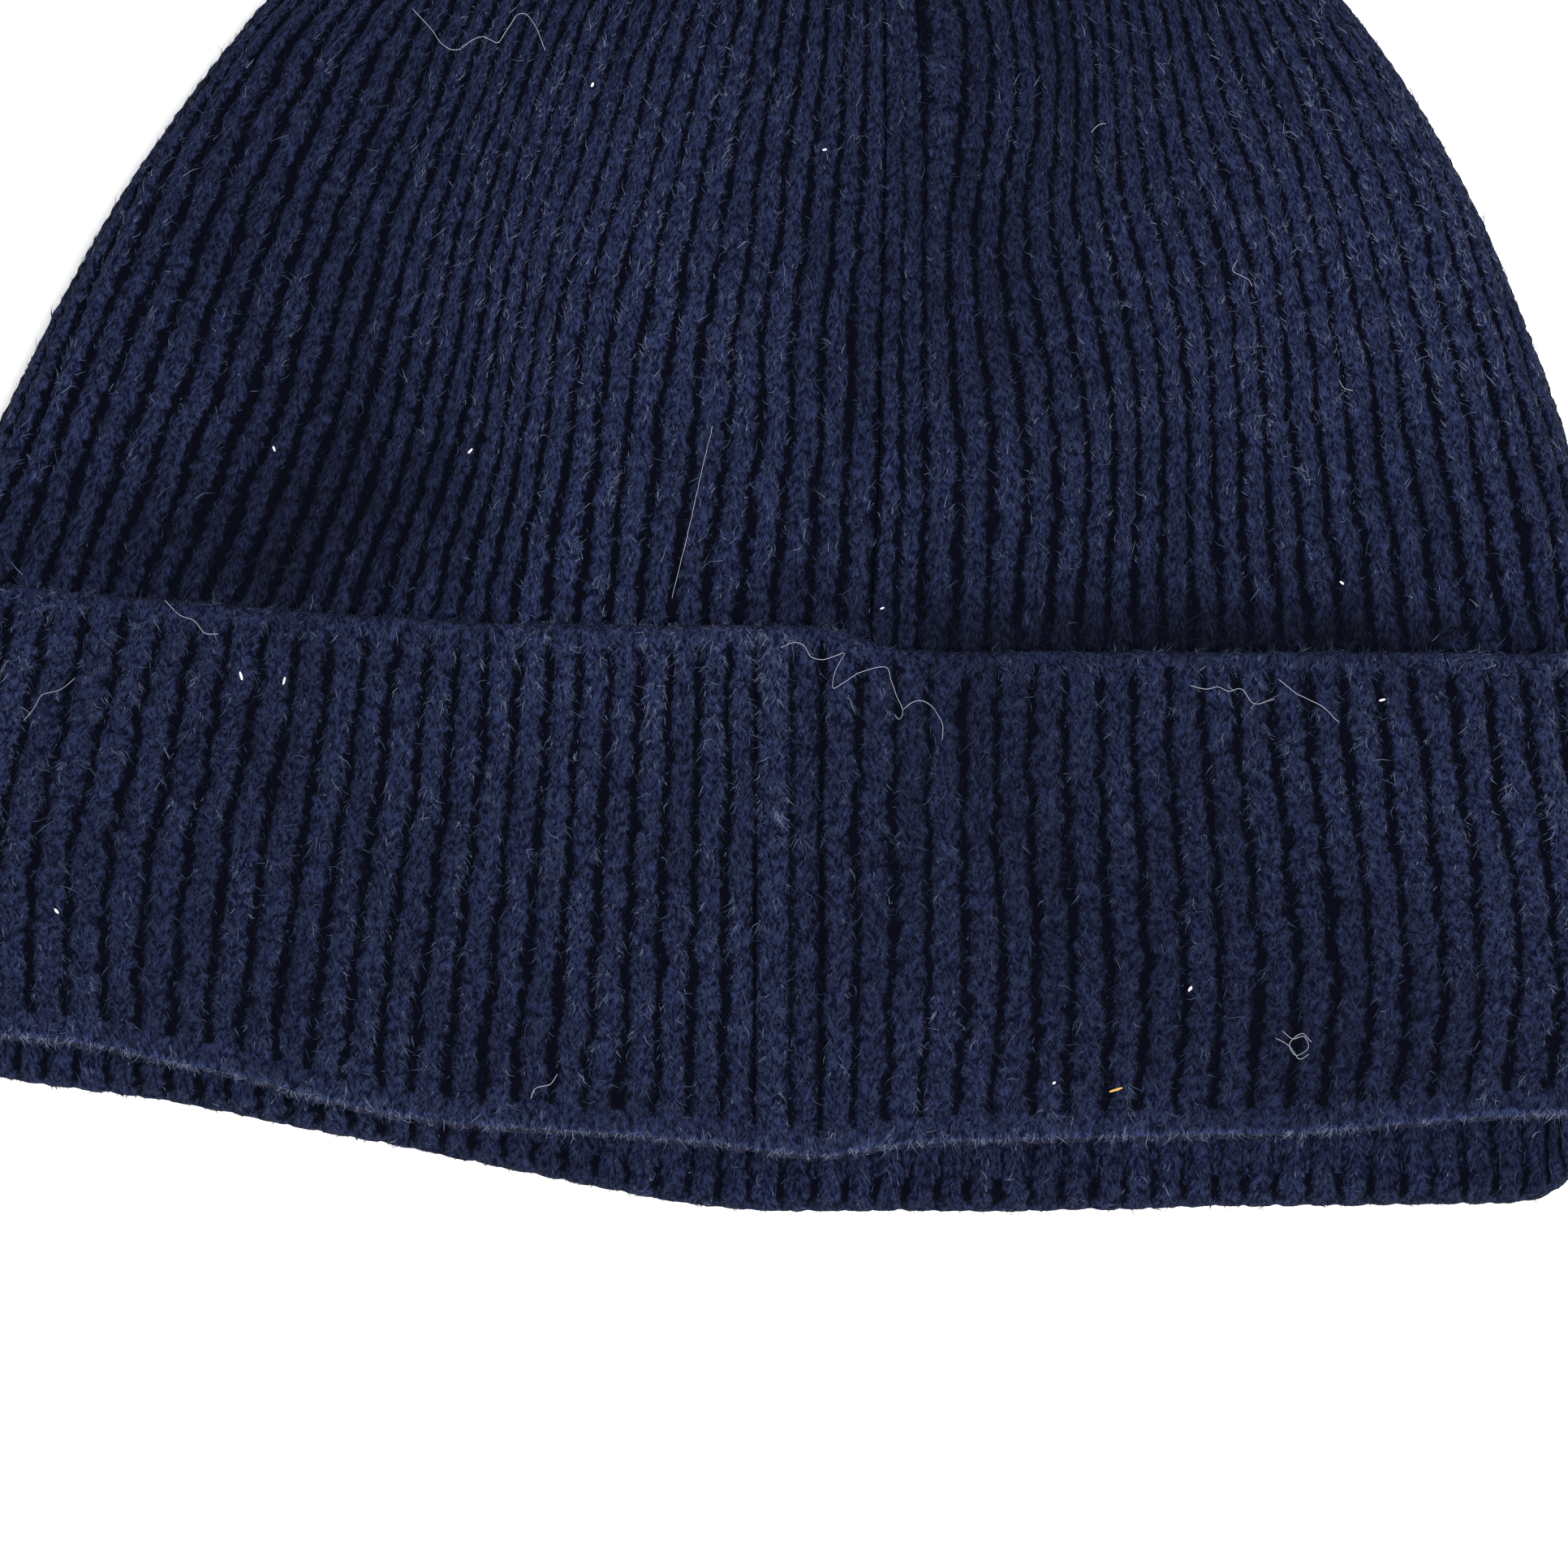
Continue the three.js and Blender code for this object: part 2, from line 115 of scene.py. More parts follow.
# rib count over the hat, as a height map of rib number: columns run along x from
# the first number in steps of the second, rows run along y the same way
BODY_RIBS_X = (-120, 10)
BODY_RIBS_Y = (-10, 10)
BODY_RIBS = [
    [-29.36, -27.03, -24.71, -22.41, -20.04, -17.58, -15.01, -12.34, -9.65, -7.07, -4.64, -2.29, 0.00, 2.34, 4.81, 7.40, 10.03, 12.66, 15.24, 17.74, 20.15, 22.48, 24.77, 27.05, 29.35],
    [-30.13, -27.76, -25.41, -23.13, -20.77, -18.33, -15.79, -13.04, -10.09, -7.32, -4.82, -2.41, -0.15, 2.16, 4.64, 7.31, 10.00, 12.77, 15.49, 18.06, 20.52, 22.89, 25.20, 27.51, 29.84],
    [-30.92, -28.52, -26.12, -23.82, -21.44, -19.09, -16.61, -13.83, -10.61, -7.51, -4.97, -2.53, -0.28, 2.03, 4.47, 7.19, 9.91, 12.89, 15.74, 18.38, 20.90, 23.31, 25.62, 27.98, 30.38],
    [-31.75, -29.33, -26.92, -24.38, -22.13, -19.84, -17.39, -14.63, -11.39, -7.88, -5.11, -2.73, -0.35, 2.16, 4.61, 7.20, 9.85, 13.00, 15.97, 18.74, 21.30, 23.71, 26.05, 28.52, 31.02],
    [-32.64, -30.12, -27.62, -25.04, -22.74, -20.52, -18.03, -15.27, -12.06, -8.18, -5.23, -2.81, -0.33, 2.39, 4.98, 7.52, 10.08, 13.07, 16.20, 19.13, 21.78, 24.20, 26.69, 29.26, 31.85],
    [-33.67, -30.98, -28.31, -25.71, -23.35, -21.10, -18.55, -15.80, -12.42, -8.36, -5.46, -2.93, -0.17, 2.71, 5.54, 8.12, 10.64, 13.42, 16.44, 19.45, 22.16, 24.80, 27.53, 30.19, 32.90],
    [-34.95, -32.08, -29.25, -26.56, -24.09, -21.68, -19.19, -16.35, -12.92, -8.93, -5.88, -3.24, -0.45, 2.49, 5.66, 8.54, 11.24, 14.00, 16.86, 19.96, 22.75, 25.59, 28.43, 31.30, 34.21],
    [-36.63, -33.56, -30.51, -27.56, -24.79, -22.36, -19.89, -17.14, -13.69, -9.79, -6.56, -3.72, -1.01, 1.71, 4.77, 8.28, 11.64, 14.67, 17.49, 20.63, 23.42, 26.42, 29.54, 32.70, 35.88],
    [-38.78, -35.55, -32.29, -29.04, -25.90, -23.27, -20.79, -18.20, -14.71, -10.66, -7.25, -4.25, -1.53, 1.14, 3.83, 7.53, 11.73, 15.42, 18.40, 21.51, 24.48, 27.69, 31.10, 34.55, 37.99],
    [-41.46, -38.14, -34.76, -31.33, -27.91, -24.65, -21.81, -19.14, -15.75, -11.71, -8.07, -4.90, -2.09, 0.63, 3.43, 7.38, 11.83, 16.00, 19.49, 22.65, 26.05, 29.66, 33.34, 37.00, 40.61],
    [-44.66, -41.34, -37.97, -34.51, -30.99, -27.46, -24.09, -20.79, -17.15, -13.11, -9.23, -5.72, -2.57, 0.49, 3.89, 8.01, 12.53, 16.92, 20.90, 24.66, 28.56, 32.47, 36.31, 40.06, 43.76],
    [-48.33, -45.10, -41.83, -38.49, -35.06, -31.49, -27.78, -23.88, -19.68, -15.26, -10.87, -6.76, -2.91, 0.89, 4.98, 9.51, 14.36, 19.17, 23.73, 28.03, 32.17, 36.15, 39.99, 43.72, 47.39],
    [-52.40, -49.32, -46.21, -43.06, -39.82, -36.41, -32.66, -28.42, -23.68, -18.54, -13.25, -8.16, -3.28, 1.59, 6.65, 12.02, 17.62, 23.03, 28.04, 32.59, 36.70, 40.55, 44.25, 47.86, 51.44],
    [-56.78, -53.87, -50.96, -48.03, -45.03, -41.88, -38.41, -34.40, -29.50, -23.66, -17.11, -10.53, -3.91, 2.74, 9.42, 16.16, 22.80, 28.72, 33.71, 37.98, 41.82, 45.43, 48.93, 52.37, 55.79],
    [-61.35, -58.62, -55.91, -53.22, -50.49, -47.63, -44.48, -40.83, -36.41, -30.85, -23.65, -14.82, -5.13, 4.77, 14.34, 22.97, 29.85, 35.33, 39.84, 43.74, 47.27, 50.60, 53.85, 57.10, 60.36],
    [-66.04, -63.47, -60.96, -58.50, -56.05, -53.49, -50.65, -47.25, -42.87, -36.89, -28.67, -18.15, -6.12, 6.35, 18.13, 28.21, 35.94, 41.65, 46.03, 49.63, 52.83, 55.87, 58.88, 61.93, 65.03],
]
CUFF_RIBS_X = (-120, 12)
CUFF_RIBS_Y = (-80, 12)
CUFF_RIBS = [
    [-27.83, -25.18, -22.51, -19.77, -16.96, -14.11, -11.29, -8.49, -5.69, -2.86, -0.00, 2.88, 5.69, 8.42, 11.12, 13.81, 16.45, 19.03, 21.52, 23.90, 26.25],
    [-27.67, -25.05, -22.41, -19.72, -16.93, -14.12, -11.33, -8.57, -5.80, -2.98, -0.12, 2.78, 5.57, 8.24, 10.90, 13.57, 16.21, 18.83, 21.33, 23.69, 26.02],
    [-27.52, -24.90, -22.30, -19.65, -16.90, -14.15, -11.41, -8.66, -5.90, -3.09, -0.23, 2.69, 5.40, 8.09, 10.68, 13.33, 15.93, 18.59, 21.16, 23.48, 25.83],
    [-27.40, -24.75, -22.10, -19.47, -16.92, -14.32, -11.57, -8.78, -5.99, -3.13, -0.24, 2.61, 5.30, 8.05, 10.66, 13.22, 15.75, 18.38, 20.96, 23.30, 25.77],
    [-27.38, -24.74, -22.08, -19.50, -17.05, -14.50, -11.75, -8.96, -6.06, -3.16, -0.22, 2.66, 5.43, 8.21, 10.84, 13.42, 15.97, 18.55, 21.09, 23.51, 26.00],
    [-27.48, -24.93, -22.41, -19.90, -17.37, -14.77, -12.02, -9.10, -6.11, -3.15, -0.19, 2.64, 5.57, 8.40, 11.07, 13.70, 16.33, 18.91, 21.43, 23.96, 26.41],
    [-27.67, -25.18, -22.72, -20.25, -17.71, -15.04, -12.18, -9.13, -6.14, -3.18, -0.28, 2.52, 5.59, 8.48, 11.24, 13.96, 16.67, 19.24, 21.80, 24.34, 26.81],
    [-27.89, -25.45, -23.01, -20.54, -17.97, -15.23, -12.29, -9.23, -6.20, -3.23, -0.36, 2.49, 5.49, 8.37, 11.25, 14.05, 16.81, 19.48, 22.04, 24.60, 27.14],
]

# soft relief of the loose fabric, with painted light and shade over it: lighter on rises, darker in hollows and along
# the cuff's edge.
# x, y, radius in x, radius in y, relief (mm), tone (painted light and shade)
BODY_SOFT = [
    [-22, 50, 26, 34, 0.7, 0.9],
    [-22, 8, 18, 14, 0.3, 0.8],
    [-48, 14, 12, 12, 0.0, -1.1],
    [-62, 40, 22, 34, -0.7, -0.7],
    [-70, 6, 30, 12, -0.2, -1.1],
    [-95, 30, 16, 25, 0.2, 0.6],
    [20, 50, 18, 26, -0.5, -0.9],
    [85, 62, 24, 32, 0.3, 1.0],
    [45, 35, 22, 18, 0.2, 0.3],
    # painted shadow on the body just above the cuff's edge, strongest right of the seam
    [62, 0, 54, 6.5, -0.3, -3.6],
    [-90, 6, 30, 10, 0.0, -0.6],
]
CUFF_SOFT = [
    [-20, -8, 26, 14, 0.2, 0.9],
    [28, -18, 14, 26, -0.2, -0.8],
    [-62, -26, 22, 16, -0.2, -0.5],
    [90, -14, 20, 22, 0.1, 0.3],
    [-50, -56, 40, 8, 0.0, -0.3],
    [60, -34, 44, 18, 0.0, -0.55],
    [80, -54, 36, 9, 0.0, -0.6],
]

# ------------------------------------------------------------------ small tools
def noise(x, y, seed=0):
    """Smooth value noise, -1 to 1, one cell per unit."""
    xi, yi = np.floor(x).astype(np.int64), np.floor(y).astype(np.int64)
    fx, fy = x - xi, y - yi
    ux, uy = fx * fx * (3 - 2 * fx), fy * fy * (3 - 2 * fy)

    def cell(i, j):
        n = (i * 374761393 + j * 668265263 + seed * 97463477) & 0xFFFFFFFF
        n = ((n ^ (n >> 13)) * 1274126177) & 0xFFFFFFFF
        n = n ^ (n >> 16)
        return (n & 0xFFFF) / 32767.5 - 1.0

    a, b = cell(xi, yi), cell(xi + 1, yi)
    c, d = cell(xi, yi + 1), cell(xi + 1, yi + 1)
    return (a * (1 - ux) + b * ux) * (1 - uy) + (c * (1 - ux) + d * ux) * uy


def step(lo, hi, x):
    t = np.clip((x - lo) / (hi - lo), 0, 1)
    return t * t * (3 - 2 * t)


def smoothed(rows, column, sigma, lo=None, hi=None):
    """A table read as a smooth curve: (positions, values)."""
    lo = rows[0, 0] if lo is None else lo
    hi = rows[-1, 0] if hi is None else hi
    t = np.arange(lo, hi + 0.01, 0.25)
    v = np.interp(t, rows[:, 0], rows[:, column])
    k = np.arange(-3 * sigma, 3 * sigma + 0.01, 0.25)
    w = np.exp(-0.5 * (k / sigma) ** 2)
    n = len(k) // 2
    padded = np.concatenate([2 * v[0] - v[n:0:-1], v, 2 * v[-1] - v[-2 : -n - 2 : -1]])
    return t, np.convolve(padded, w / w.sum(), mode="valid")[: len(t)]


class Curve:
    def __init__(self, rows, column=1, sigma=2.5):
        self.t, self.v = smoothed(rows, column, sigma)

    def __call__(self, t):
        return np.interp(t, self.t, self.v)


def cubic(table, origin_x, origin_y, x, y):
    """A height map read with cubic interpolation."""
    g = np.asarray(table, float)
    fx = np.clip((x - origin_x[0]) / origin_x[1], 0, g.shape[1] - 1.001)
    fy = np.clip((y - origin_y[0]) / origin_y[1], 0, g.shape[0] - 1.001)
    i, j = np.floor(fx).astype(int), np.floor(fy).astype(int)
    a, b = fx - i, fy - j

    def weights(t):
        return (
            -0.5 * t + t * t - 0.5 * t**3,
            1 - 2.5 * t * t + 1.5 * t**3,
            0.5 * t + 2 * t * t - 1.5 * t**3,
            -0.5 * t * t + 0.5 * t**3,
        )

    out = 0.0
    wx, wy = weights(a), weights(b)
    for m in range(4):
        jj = j + m - 1
        edge_y = np.clip(jj, 0, g.shape[0] - 1)
        row = 0.0
        for k in range(4):
            ii = i + k - 1
            edge_x = np.clip(ii, 0, g.shape[1] - 1)
            # beyond the table's sides the ribs keep their pitch
            over = ii - edge_x
            slope = np.where(
                over < 0,
                g[edge_y, 1] - g[edge_y, 0],
                g[edge_y, -1] - g[edge_y, -2],
            )
            row = row + wx[k] * (g[edge_y, edge_x] + over * slope)
        out = out + wy[m] * row
    # and further out they keep it too
    beyond = np.where(x < origin_x[0], x - origin_x[0], 0) + np.where(
        x > origin_x[0] + origin_x[1] * (g.shape[1] - 1),
        x - origin_x[0] - origin_x[1] * (g.shape[1] - 1),
        0,
    )
    return out + beyond * 0.235


def soft_map(spots, x, y, column):
    out = np.zeros(np.broadcast(x, y).shape)
    for s in spots:
        out = out + s[column] * np.exp(-(((x - s[0]) / s[2]) ** 2) - (((y - s[1]) / s[3]) ** 2))
    return out


# ------------------------------------------------------------------ the sections
tube_w = Curve(TUBE, 1, 2.5)
tube_cx = Curve(TUBE, 2, 3.0)
tube_lo = Curve(TUBE, 3, 1.6)
tube_hi = Curve(TUBE, 4, 2.0)
fold_up = Curve(FOLD_UP, 1, 2.0)
fold_down = Curve(FOLD_DOWN, 1, 4.0)
welt_up = Curve(WELT_UP, 1, 1.2)


def tube_point(q, y, d, upper=True):
    """A point of the tube: q along the section from its middle, d inside its surface."""
    w, cx = tube_w(y), tube_cx(y)
    lo, hi = tube_lo(y), tube_hi(y)
    h, zc = (hi - lo) / 2, (hi + lo) / 2
    flat = w - h
    ang = np.clip((np.abs(q) - flat) / h, 0, None)
    r = h - d
    x = cx + np.sign(q) * (np.minimum(np.abs(q), flat) + r * np.sin(ang))
    z = zc + (1 if upper else -1) * r * np.cos(ang)
    if upper:
        flat_side = np.cos(np.minimum(ang, np.pi / 2))
        z = z + soft_map(BODY_SOFT, cx + q, y, 4) * flat_side * step(1, 9, y)
        # the tube sinks where it slips under the cuff, deepest right of the seam
        sink = (0.9 + 0.9 * step(-5, 25, x)) * np.exp(-(((y - 0.5) / 4.0) ** 2))
        z = z - sink * flat_side * (d < 1.9)
    return np.stack(np.broadcast_arrays(x, y + TOP_Y, z), -1)


def tube_reach(y):
    w, lo, hi = tube_w(y), tube_lo(y), tube_hi(y)
    h = (hi - lo) / 2
    return w - h + h * np.pi / 2


def cuff_point(q, y, d, upper=True):
    ang = np.clip((np.abs(q) - CUFF_FLAT) / CUFF_H, 0, None)
    r = CUFF_H - d
    x = np.sign(q) * (np.minimum(np.abs(q), CUFF_FLAT) + r * np.sin(ang))
    z = CUFF_H + (1 if upper else -1) * r * np.cos(ang)
    if upper:
        z = z + soft_map(CUFF_SOFT, q, y, 4) * np.cos(np.minimum(ang, np.pi / 2))
    return np.stack(np.broadcast_arrays(x, y + TOP_Y, z), -1)


CUFF_REACH = CUFF_FLAT + CUFF_H * np.pi / 2

# ------------------------------------------------------------------ where ribs run
BODY_SEAM = np.array([[-70, 0.072], [0, 0.150], [36, 0.134], [128.4, 0.134]])


def body_seam_mid(y):
    return np.interp(y, BODY_SEAM[:, 0], BODY_SEAM[:, 1]) * tube_w(y)


def body_seam_half(y):
    return np.maximum(1.4, 3.0 * tube_w(y) / 108.0)


def cuff_seam_left(y):
    return np.interp(y, [-70, 0], [1.4, -1.5])


def cuff_seam_right(y):
    return np.interp(y, [-70, 0], [9.3, 6.6])


def body_phase_raw(q, y):
    return cubic(BODY_RIBS, BODY_RIBS_X, BODY_RIBS_Y, tube_cx(y) + q, np.clip(y, -10, 140))


def cuff_phase_raw(q, y):
    return cubic(CUFF_RIBS, CUFF_RIBS_X, CUFF_RIBS_Y, q, np.clip(y, -80, 4))


_ys = np.linspace(0, 110, 56)
_bl = body_seam_mid(_ys) - body_seam_half(_ys)
_br = body_seam_mid(_ys) + body_seam_half(_ys)
BODY_N_LEFT = np.round(np.mean(body_phase_raw(_bl, _ys)[:24]))
BODY_N_RIGHT = np.round(np.mean(body_phase_raw(_br, _ys)[:24]))
_yc = np.linspace(-60, -4, 29)
CUFF_N_LEFT = np.round(np.mean(cuff_phase_raw(cuff_seam_left(_yc), _yc)))
CUFF_N_RIGHT = np.round(np.mean(cuff_phase_raw(cuff_seam_right(_yc), _yc)))
AROUND = 112.0  # ribs round the whole hat


def body_phase(q, y, side):
    """Rib number on the back of the tube, whole at the seam's edge."""
    raw = body_phase_raw(q, y)
    if side < 0:
        edge = body_seam_mid(y) - body_seam_half(y)
        miss = BODY_N_LEFT - body_phase_raw(edge, y)
    else:
        edge = body_seam_mid(y) + body_seam_half(y)
        miss = BODY_N_RIGHT - body_phase_raw(edge, y)
    return raw + miss * np.exp(-np.abs(q - edge) / 14.0)


def cuff_phase(q, y, side):
    raw = cuff_phase_raw(q, y)
    if side < 0:
        edge = cuff_seam_left(y)
        miss = CUFF_N_LEFT - cuff_phase_raw(edge, y)
    else:
        edge = cuff_seam_right(y)
        miss = CUFF_N_RIGHT - cuff_phase_raw(edge, y)
    return raw + miss * np.exp(-np.abs(q - edge) / 12.0)


def front_phase(q, y, phase, reach):
    """Rib number on the front half, carried on round both side folds."""
    right = phase(reach, y, 1)
    left = phase(-reach, y, -1)
    return right + (reach - q) * (left + AROUND - right) / (2 * reach)


# ------------------------------------------------------------------ the knit
def knit(phi, T, depth, gap=0.30, lumps=1.0, seed=0, mm=4.1):
    """How far the surface lies under the tops of the ribs, and how deep in a groove.
    phi is the rib number, T the stitch number, depth the groove in mm."""
    phi = phi + 0.07 * noise(phi * 0.9, T * 0.55, seed + 1) + 0.075 * noise(phi * 2.1, T * 1.3, seed + 2)
    k = np.floor(phi)
    c = phi - k - 0.5
    a = np.abs(c) * 2
    side = np.sign(c)
    # every stitch swells the rib's edge; a leg of the V goes up each side
    swell = np.cos(2 * np.pi * (T + 0.18 * side + 0.13 * noise(k, T * 0.4, seed + 3)))
    g = gap * (1.0 + 0.42 * noise(k * 1.7 + 5.3 * side, T * 0.33, seed + 4) - 0.42 * swell)
    g = np.clip(g + 0.12 * noise(k * 3.1 + 7.7 * side, T * 1.1, seed + 5), 0.03, 0.6)
    r = np.clip(a / (1 - g), 0, 1)
    h = np.clip(1 - r**3.0, 0, 1) ** 0.62
    # the purl stitches at the foot of the groove, some of them nearly level with it
    cell = noise(k * 5.3 + 0.5, np.floor(T + 0.5) * 3.7, seed + 6)
    floor_ = (0.04 + 0.50 * np.clip(cell - 0.1, 0, 1)) * (0.5 + 0.5 * np.cos(2 * np.pi * (T + 0.5)))
    floor_ = floor_ + 0.12 * np.clip(noise(phi * 7, T * 2.4, seed + 7), 0, 1)
    h = np.maximum(h, floor_ * (a > 0.5))
    tall = 1 + 0.10 * noise(k * 2.3, T * 0.12, seed + 8)
    down = depth * (1 - h * np.minimum(tall, 1.0))
    top = h**2
    # the V of each stitch, the crease down the middle, lumps of yarn
    legs = np.cos(2 * np.pi * (T - 0.85 * a + 0.15 * noise(k + 3.3 * side, T * 0.7, seed + 13)))
    down = down - top * depth * 0.10 * legs * (1 + 0.5 * noise(k * 2.9 + side, T * 0.9, seed + 14))
    down = down + top * depth * 0.07 * np.exp(-((c / 0.07) ** 2)) * (0.6 + 0.4 * noise(k, T * 0.8, seed + 9))
    x_mm, y_mm = phi * mm, T * 2.1
    rough = 0.10 * noise(x_mm / 0.95, y_mm / 1.35, seed + 10) + 0.10 * noise(x_mm / 0.62, y_mm / 0.95, seed + 11)
    rough = rough + 0.07 * noise(x_mm / 2.2, y_mm / 2.8, seed + 12)
    down = down + lumps * rough * (0.35 + 0.65 * top)
    # how deep in a groove each point lies, most at the pits between neighbouring stitches; it sets the painted shade at
    # the grooves' foot
    groove = np.clip(1 - h, 0, 1)
    return down, groove


def tones(phi, T, seed):
    k = np.floor(phi)
    t = 0.45 * noise(k * 1.31, T * 0.10, seed + 20)
    t = t + 0.35 * noise(phi * 1.5, T * 0.9, seed + 21) + 0.35 * noise(phi * 0.35, T * 0.12, seed + 22)
    return t


# ------------------------------------------------------------------ meshes
def rows_of(*parts):
    return np.concatenate([np.asarray(p, float) for p in parts])


def strip(n_out, n_in, t_out, t_in):
    """Triangles between two polylines, numbered 0..n_out-1 and n_out..n_out+n_in-1."""
    out, i, j = [], 0, 0
    while i < n_out - 1 or j < n_in - 1:
        if j == n_in - 1 or (i < n_out - 1 and t_out[i + 1] <= t_in[j + 1]):
            out.append((i, i + 1, n_out + j))
            i += 1
        else:
            out.append((i, n_out + j + 1, n_out + j))
            j += 1
    return out


def sweep_mesh(name, P, n_out, knit_uv, groove_shade, tone_and_shade, wrap=False, material=None):
    """A closed skin: P[row, column] in mm, closed over its rows, whose first n_out rows
    are the outer face. Ends are capped unless the columns wrap round."""
    R, C = P.shape[:2]
    vid = np.arange(R * C).reshape(R, C)
    nxt = np.roll(vid, -1, 0)
    if wrap:
        a, b = vid, np.roll(vid, -1, 1)
        c_, d = np.roll(nxt, -1, 1), nxt
    else:
        a, b = vid[:, :-1], vid[:, 1:]
        c_, d = nxt[:, 1:], nxt[:, :-1]
    quads = np.stack([a, b, c_, d], -1).reshape(-1, 4)
    # which way is out
    p = P.reshape(-1, 3)
    q0, q1, q2, q3 = (p[quads[:, i]] for i in range(4))
    vol = (np.einsum("ij,ij->i", q0, np.cross(q1, q2)) + np.einsum("ij,ij->i", q0, np.cross(q2, q3))).sum()
    tris = []
    if not wrap:
        for col, flip in ((0, False), (C - 1, True)):
            outer, inner = vid[:n_out, col], vid[n_out:, col][::-1]

            def lengths(ids):
                s = np.linalg.norm(np.diff(p[ids], axis=0), axis=1)
                t = np.concatenate([[0], np.cumsum(s)])
                return t / max(t[-1], 1e-9)

            both = np.concatenate([outer, inner])
            for t in strip(len(outer), len(inner), lengths(outer), lengths(inner)):
                t = both[list(t)]
                tris.append(t[::-1] if flip else t)
    tris = np.array(tris, int).reshape(-1, 3)
    if len(tris):
        # a cap's first edge runs against the skin's
        tris = tris[:, ::-1]
    if vol < 0:
        quads = quads[:, ::-1]
        tris = tris[:, ::-1]
    mesh = bpy.data.meshes.new(name)
    mesh.vertices.add(R * C)
    mesh.vertices.foreach_set("co", (p / MM).astype(np.float32).ravel())
    loops = np.concatenate([quads.ravel(), tris.ravel()])
    starts = np.concatenate([np.arange(len(quads)) * 4, len(quads) * 4 + np.arange(len(tris)) * 3])
    mesh.loops.add(len(loops))
    mesh.loops.foreach_set("vertex_index", loops.astype(np.int32))
    mesh.polygons.add(len(starts))
    mesh.polygons.foreach_set("loop_start", starts.astype(np.int32))
    mesh.polygons.foreach_set("use_smooth", np.ones(len(starts), bool))
    # a plain grid for baking: rows by their length, columns evenly
    seg = np.linalg.norm(np.diff(P, axis=0, append=P[:1]), axis=2).mean(1)
    v = np.concatenate([[0], np.cumsum(seg)])
    v = 0.004 + 0.992 * v / v[-1]
    ncol = C if wrap else C - 1
    u = 0.004 + 0.955 * np.arange(ncol + 1) / ncol
    rr, cc = np.meshgrid(np.arange(R), np.arange(ncol), indexing="ij")
    corner = np.stack(
        [
            np.stack([u[cc], v[rr]], -1),
            np.stack([u[cc + 1], v[rr]], -1),
            np.stack([u[cc + 1], v[rr + 1]], -1),
            np.stack([u[cc], v[rr + 1]], -1),
        ],
        2,
    ).reshape(-1, 4, 2)
    ku = knit_uv.reshape(-1, 2)
    if vol < 0:
        corner = corner[:, ::-1]
    cap_uv = np.zeros((len(tris), 3, 2))
    if len(tris):
        local = p[tris]
        cap_uv[..., 0] = 0.968 + 0.024 * (tris // C > n_out)
        cap_uv[..., 1] = 0.004 + 0.99 * (local[..., 1] - p[:, 1].min()) / max(np.ptp(p[:, 1]), 1e-6)
    bake = np.concatenate([corner.reshape(-1, 2), cap_uv.reshape(-1, 2)])
    layer = mesh.uv_layers.new(name="OFBake")
    layer.uv.foreach_set("vector", bake.astype(np.float32).ravel())
    layer = mesh.uv_layers.new(name="knit")
    layer.uv.foreach_set("vector", ku[loops].astype(np.float32).ravel())
    mesh.uv_layers["OFBake"].active_render = True
    mesh.uv_layers.active = mesh.uv_layers["OFBake"]
    mesh.update(calc_edges=True)
    # per point: how deep in a groove, for the painted groove shade, and tone with painted light and shade
    for label, values in (("groove_shade", groove_shade), ("tone_and_shade", tone_and_shade)):
        attribute = mesh.attributes.new(label, "FLOAT", "POINT")
        attribute.data.foreach_set("value", np.asarray(values, np.float32).ravel())
    mesh.validate()
    obj = bpy.data.objects.new(name, mesh)
    bpy.context.scene.collection.objects.link(obj)
    if material:
        mesh.materials.append(material)
    return obj


# ------------------------------------------------------------------ the camera
def aim():
    cam = bpy.data.cameras.new("view")
    obj = bpy.data.objects.new("view", cam)
    bpy.context.scene.collection.objects.link(obj)
    bpy.context.scene.camera = obj
    tilt, roll = math.radians(75.0), math.radians(2.6)
    forward = Vector((0, math.cos(tilt), -math.sin(tilt)))
    up0 = Vector((0, math.sin(tilt), math.cos(tilt)))
    right0 = Vector((1, 0, 0))
    right = right0 * math.cos(roll) + up0 * math.sin(roll)
    up = -right0 * math.sin(roll) + up0 * math.cos(roll)
    target = Vector((0.00287, TOP_Y / MM - 0.01798, 0.010))
    m = Matrix((right, up, -forward)).transposed().to_4x4()
    m.translation = target - forward * 0.9
    obj.matrix_world = m
    cam.lens = 161.3
    cam.sensor_width = 36.0
    cam.clip_start, cam.clip_end = 0.05, 20.0
    return obj


aim()


# ------------------------------------------------------------------ materials
def rgb(r, g, b):
    out = []
    for v in (r, g, b):
        v = v / 255.0
        out.append(v / 12.92 if v <= 0.04045 else ((v + 0.055) / 1.055) ** 2.4)
    return (*out, 1.0)


